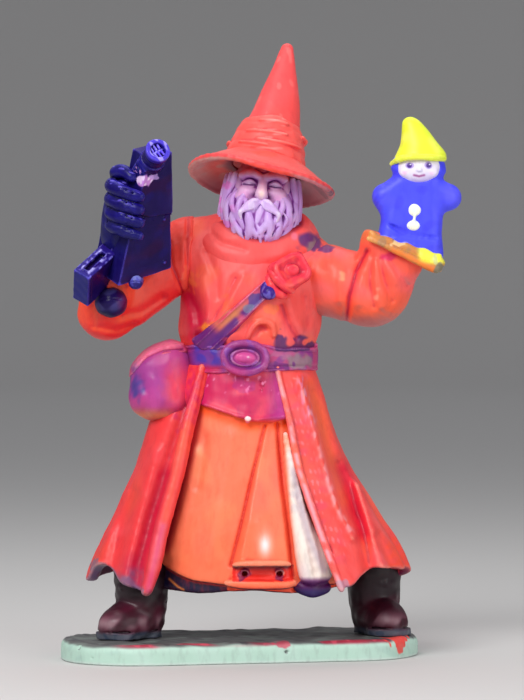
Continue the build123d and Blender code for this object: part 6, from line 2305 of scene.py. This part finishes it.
def paint_base(s):
    s.fill((184, 216, 200))
    s.wash(s.mottle(2.4, 294, -0.1, 0.9), (190, 220, 206), 0.7)
    s.wash(s.mottle(1.3, 295, 0.3, 0.9), (168, 200, 190), 0.4)
    s.wash(smooth_step(s.z, 0.28, 0.05) * (s.n[:, 2] > -0.7), (222, 234, 228), 0.8)
    up = smooth_step(s.n[:, 2], 0.45, 0.9)
    s.wash(up, (92, 92, 92))
    s.wash(up * s.mottle(2.0, 296, 0.0, 0.8), (122, 132, 126), 0.7)
    s.wash(up * s.mottle(1.0, 297, 0.4, 0.9), (58, 54, 62), 0.6)
    s.wash(up * s.sunk(0.04, 0.16), (206, 212, 208), 0.8)
    depth = -(-s.x * math.sin(BASE_TURN) + s.y * math.cos(BASE_TURN))
    front_edge = smooth_step(depth, 4.0, 4.8) * smooth_step(s.z, 1.12, 1.38)
    smear = smooth_step(waves(s.x * 0.4, s.y, s.z, 1.3, 298), -0.3,
                        0.5) * smooth_step(s.x, -9.5, -6.5)
    s.wash(front_edge * smear, (190, 40, 66), 0.85)
    s.wash(front_edge * smear * s.mottle(0.9, 299, 0.2, 0.7), (232, 88, 110), 0.7)
    s.wash(s.blot((11.0, -1.5, 1.45), (1.0, 1.6, 0.5), 300, ragged=0.5), (244, 66, 58), 0.95)
    s.wash(s.blot((11.2, -1.9, 0.95), (0.32, 1.2, 0.6), 301, ragged=0.3), (240, 74, 66), 0.9)
    s.wash(s.blot((2.9, -4.4, 1.3), (0.5, 1.0, 0.35), 302, ragged=0.5), (210, 60, 84), 0.7)
    # Painted shade on the underside.
    s.wash(smooth_step(-s.n[:, 2], 0.5, 0.9), (150, 160, 152), 0.8)


to_object("base_slab_cast", shape_base(), paint_base, base_mint, ["base_slab"])


# ------------------------------------------------------------------------------ hidden pins
brass = paint("brass_wire", (96, 60, 20), (236, 200, 120), roughness=0.35, drybrush=0.4)
brass.node_tree.nodes["Principled BSDF"].inputs["Metallic"].default_value = 1.0
for name in ("boot_pins", "neck_pin", "shoulder_pins", "wrist_pins"):
    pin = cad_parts[name]
    for place in pin.material_slots:
        place.material = brass


# ------------------------------------------------------------------------------ studio
FLOOR_FLAT = 900.0                      # radius of the flat floor
FLOOR_CURL = 260.0                      # radius of the curl around it
CURL_STEPS = 8
CAMERA_PLACE, CAMERA_AIM, CAMERA_LENS = (1.5, -240, 24), (1.54, 0, 21.5), 176


def studio_floor():
    """A wide pale floor whose far edge curls up all round into a low backdrop."""
    rings = [(10.0, 0.0), (FLOOR_FLAT, 0.0)]
    for step in range(1, CURL_STEPS + 1):
        a = 0.5 * math.pi * step / CURL_STEPS
        rings.append((FLOOR_FLAT + FLOOR_CURL * math.sin(a), FLOOR_CURL * (1 - math.cos(a))))
    spokes = 96
    turns = [2 * math.pi * spoke / spokes for spoke in range(spokes)]
    corners = [(r * math.cos(a) * MM, r * math.sin(a) * MM, z * MM) for r,
               z in rings for a in turns]
    faces = [tuple(range(spokes))]
    for ring in range(len(rings) - 1):
        for spoke in range(spokes):
            low, after = ring * spokes, (spoke + 1) % spokes
            faces.append((low + spoke, low + spokes + spoke, low + spokes + after, low + after))
    mesh = bpy.data.meshes.new("studio_floor")
    mesh.from_pydata(corners, [], faces)
    mesh.polygons.foreach_set("use_smooth", [True] * len(faces))
    floor = bpy.data.objects.new("studio_floor", mesh)
    bpy.context.scene.collection.objects.link(floor)
    material = bpy.data.materials.new("pale_floor")
    material.use_nodes = True
    shader = material.node_tree.nodes["Principled BSDF"]
    shader.inputs["Base Color"].default_value = (0.62, 0.61, 0.6, 1)
    shader.inputs["Roughness"].default_value = 0.85
    mesh.materials.append(material)


def area_light(name, place, aim, size, power, colour=(1, 1, 1)):
    data = bpy.data.lights.new(name, "AREA")
    data.size = size * MM
    data.energy = power
    data.color = colour
    light = bpy.data.objects.new(name, data)
    light.location = Vector(place) * MM
    light.rotation_euler = (Vector(aim) - Vector(place)).to_track_quat("-Z", "Y").to_euler()
    light.visible_camera = False
    bpy.context.scene.collection.objects.link(light)


studio_floor()
area_light("key_light", (-70, -130, 130), (1, 0, 22), 90, 0.26)
area_light("fill_light", (110, -120, 50), (1, 0, 20), 120, 0.10)
area_light("top_light", (0, 30, 170), (1, 0, 20), 120, 0.08)
world = bpy.data.worlds.new("soft_room")
world.use_nodes = True
world.node_tree.nodes["Background"].inputs["Color"].default_value = (0.95, 0.96, 1.0, 1)
world.node_tree.nodes["Background"].inputs["Strength"].default_value = 0.35
bpy.context.scene.world = world

camera_data = bpy.data.cameras.new("camera")
camera_data.sensor_width = 36
camera_data.sensor_fit = "VERTICAL"
camera_data.sensor_height = 36
camera_data.lens = CAMERA_LENS
camera_data.clip_start = 0.01
camera = bpy.data.objects.new("camera", camera_data)
camera.location = Vector(CAMERA_PLACE) * MM
camera.rotation_euler = (Vector(CAMERA_AIM) * MM
                         - camera.location).to_track_quat("-Z", "Y").to_euler()
bpy.context.scene.collection.objects.link(camera)
bpy.context.scene.camera = camera
bpy.context.scene.view_settings.view_transform = "Standard"
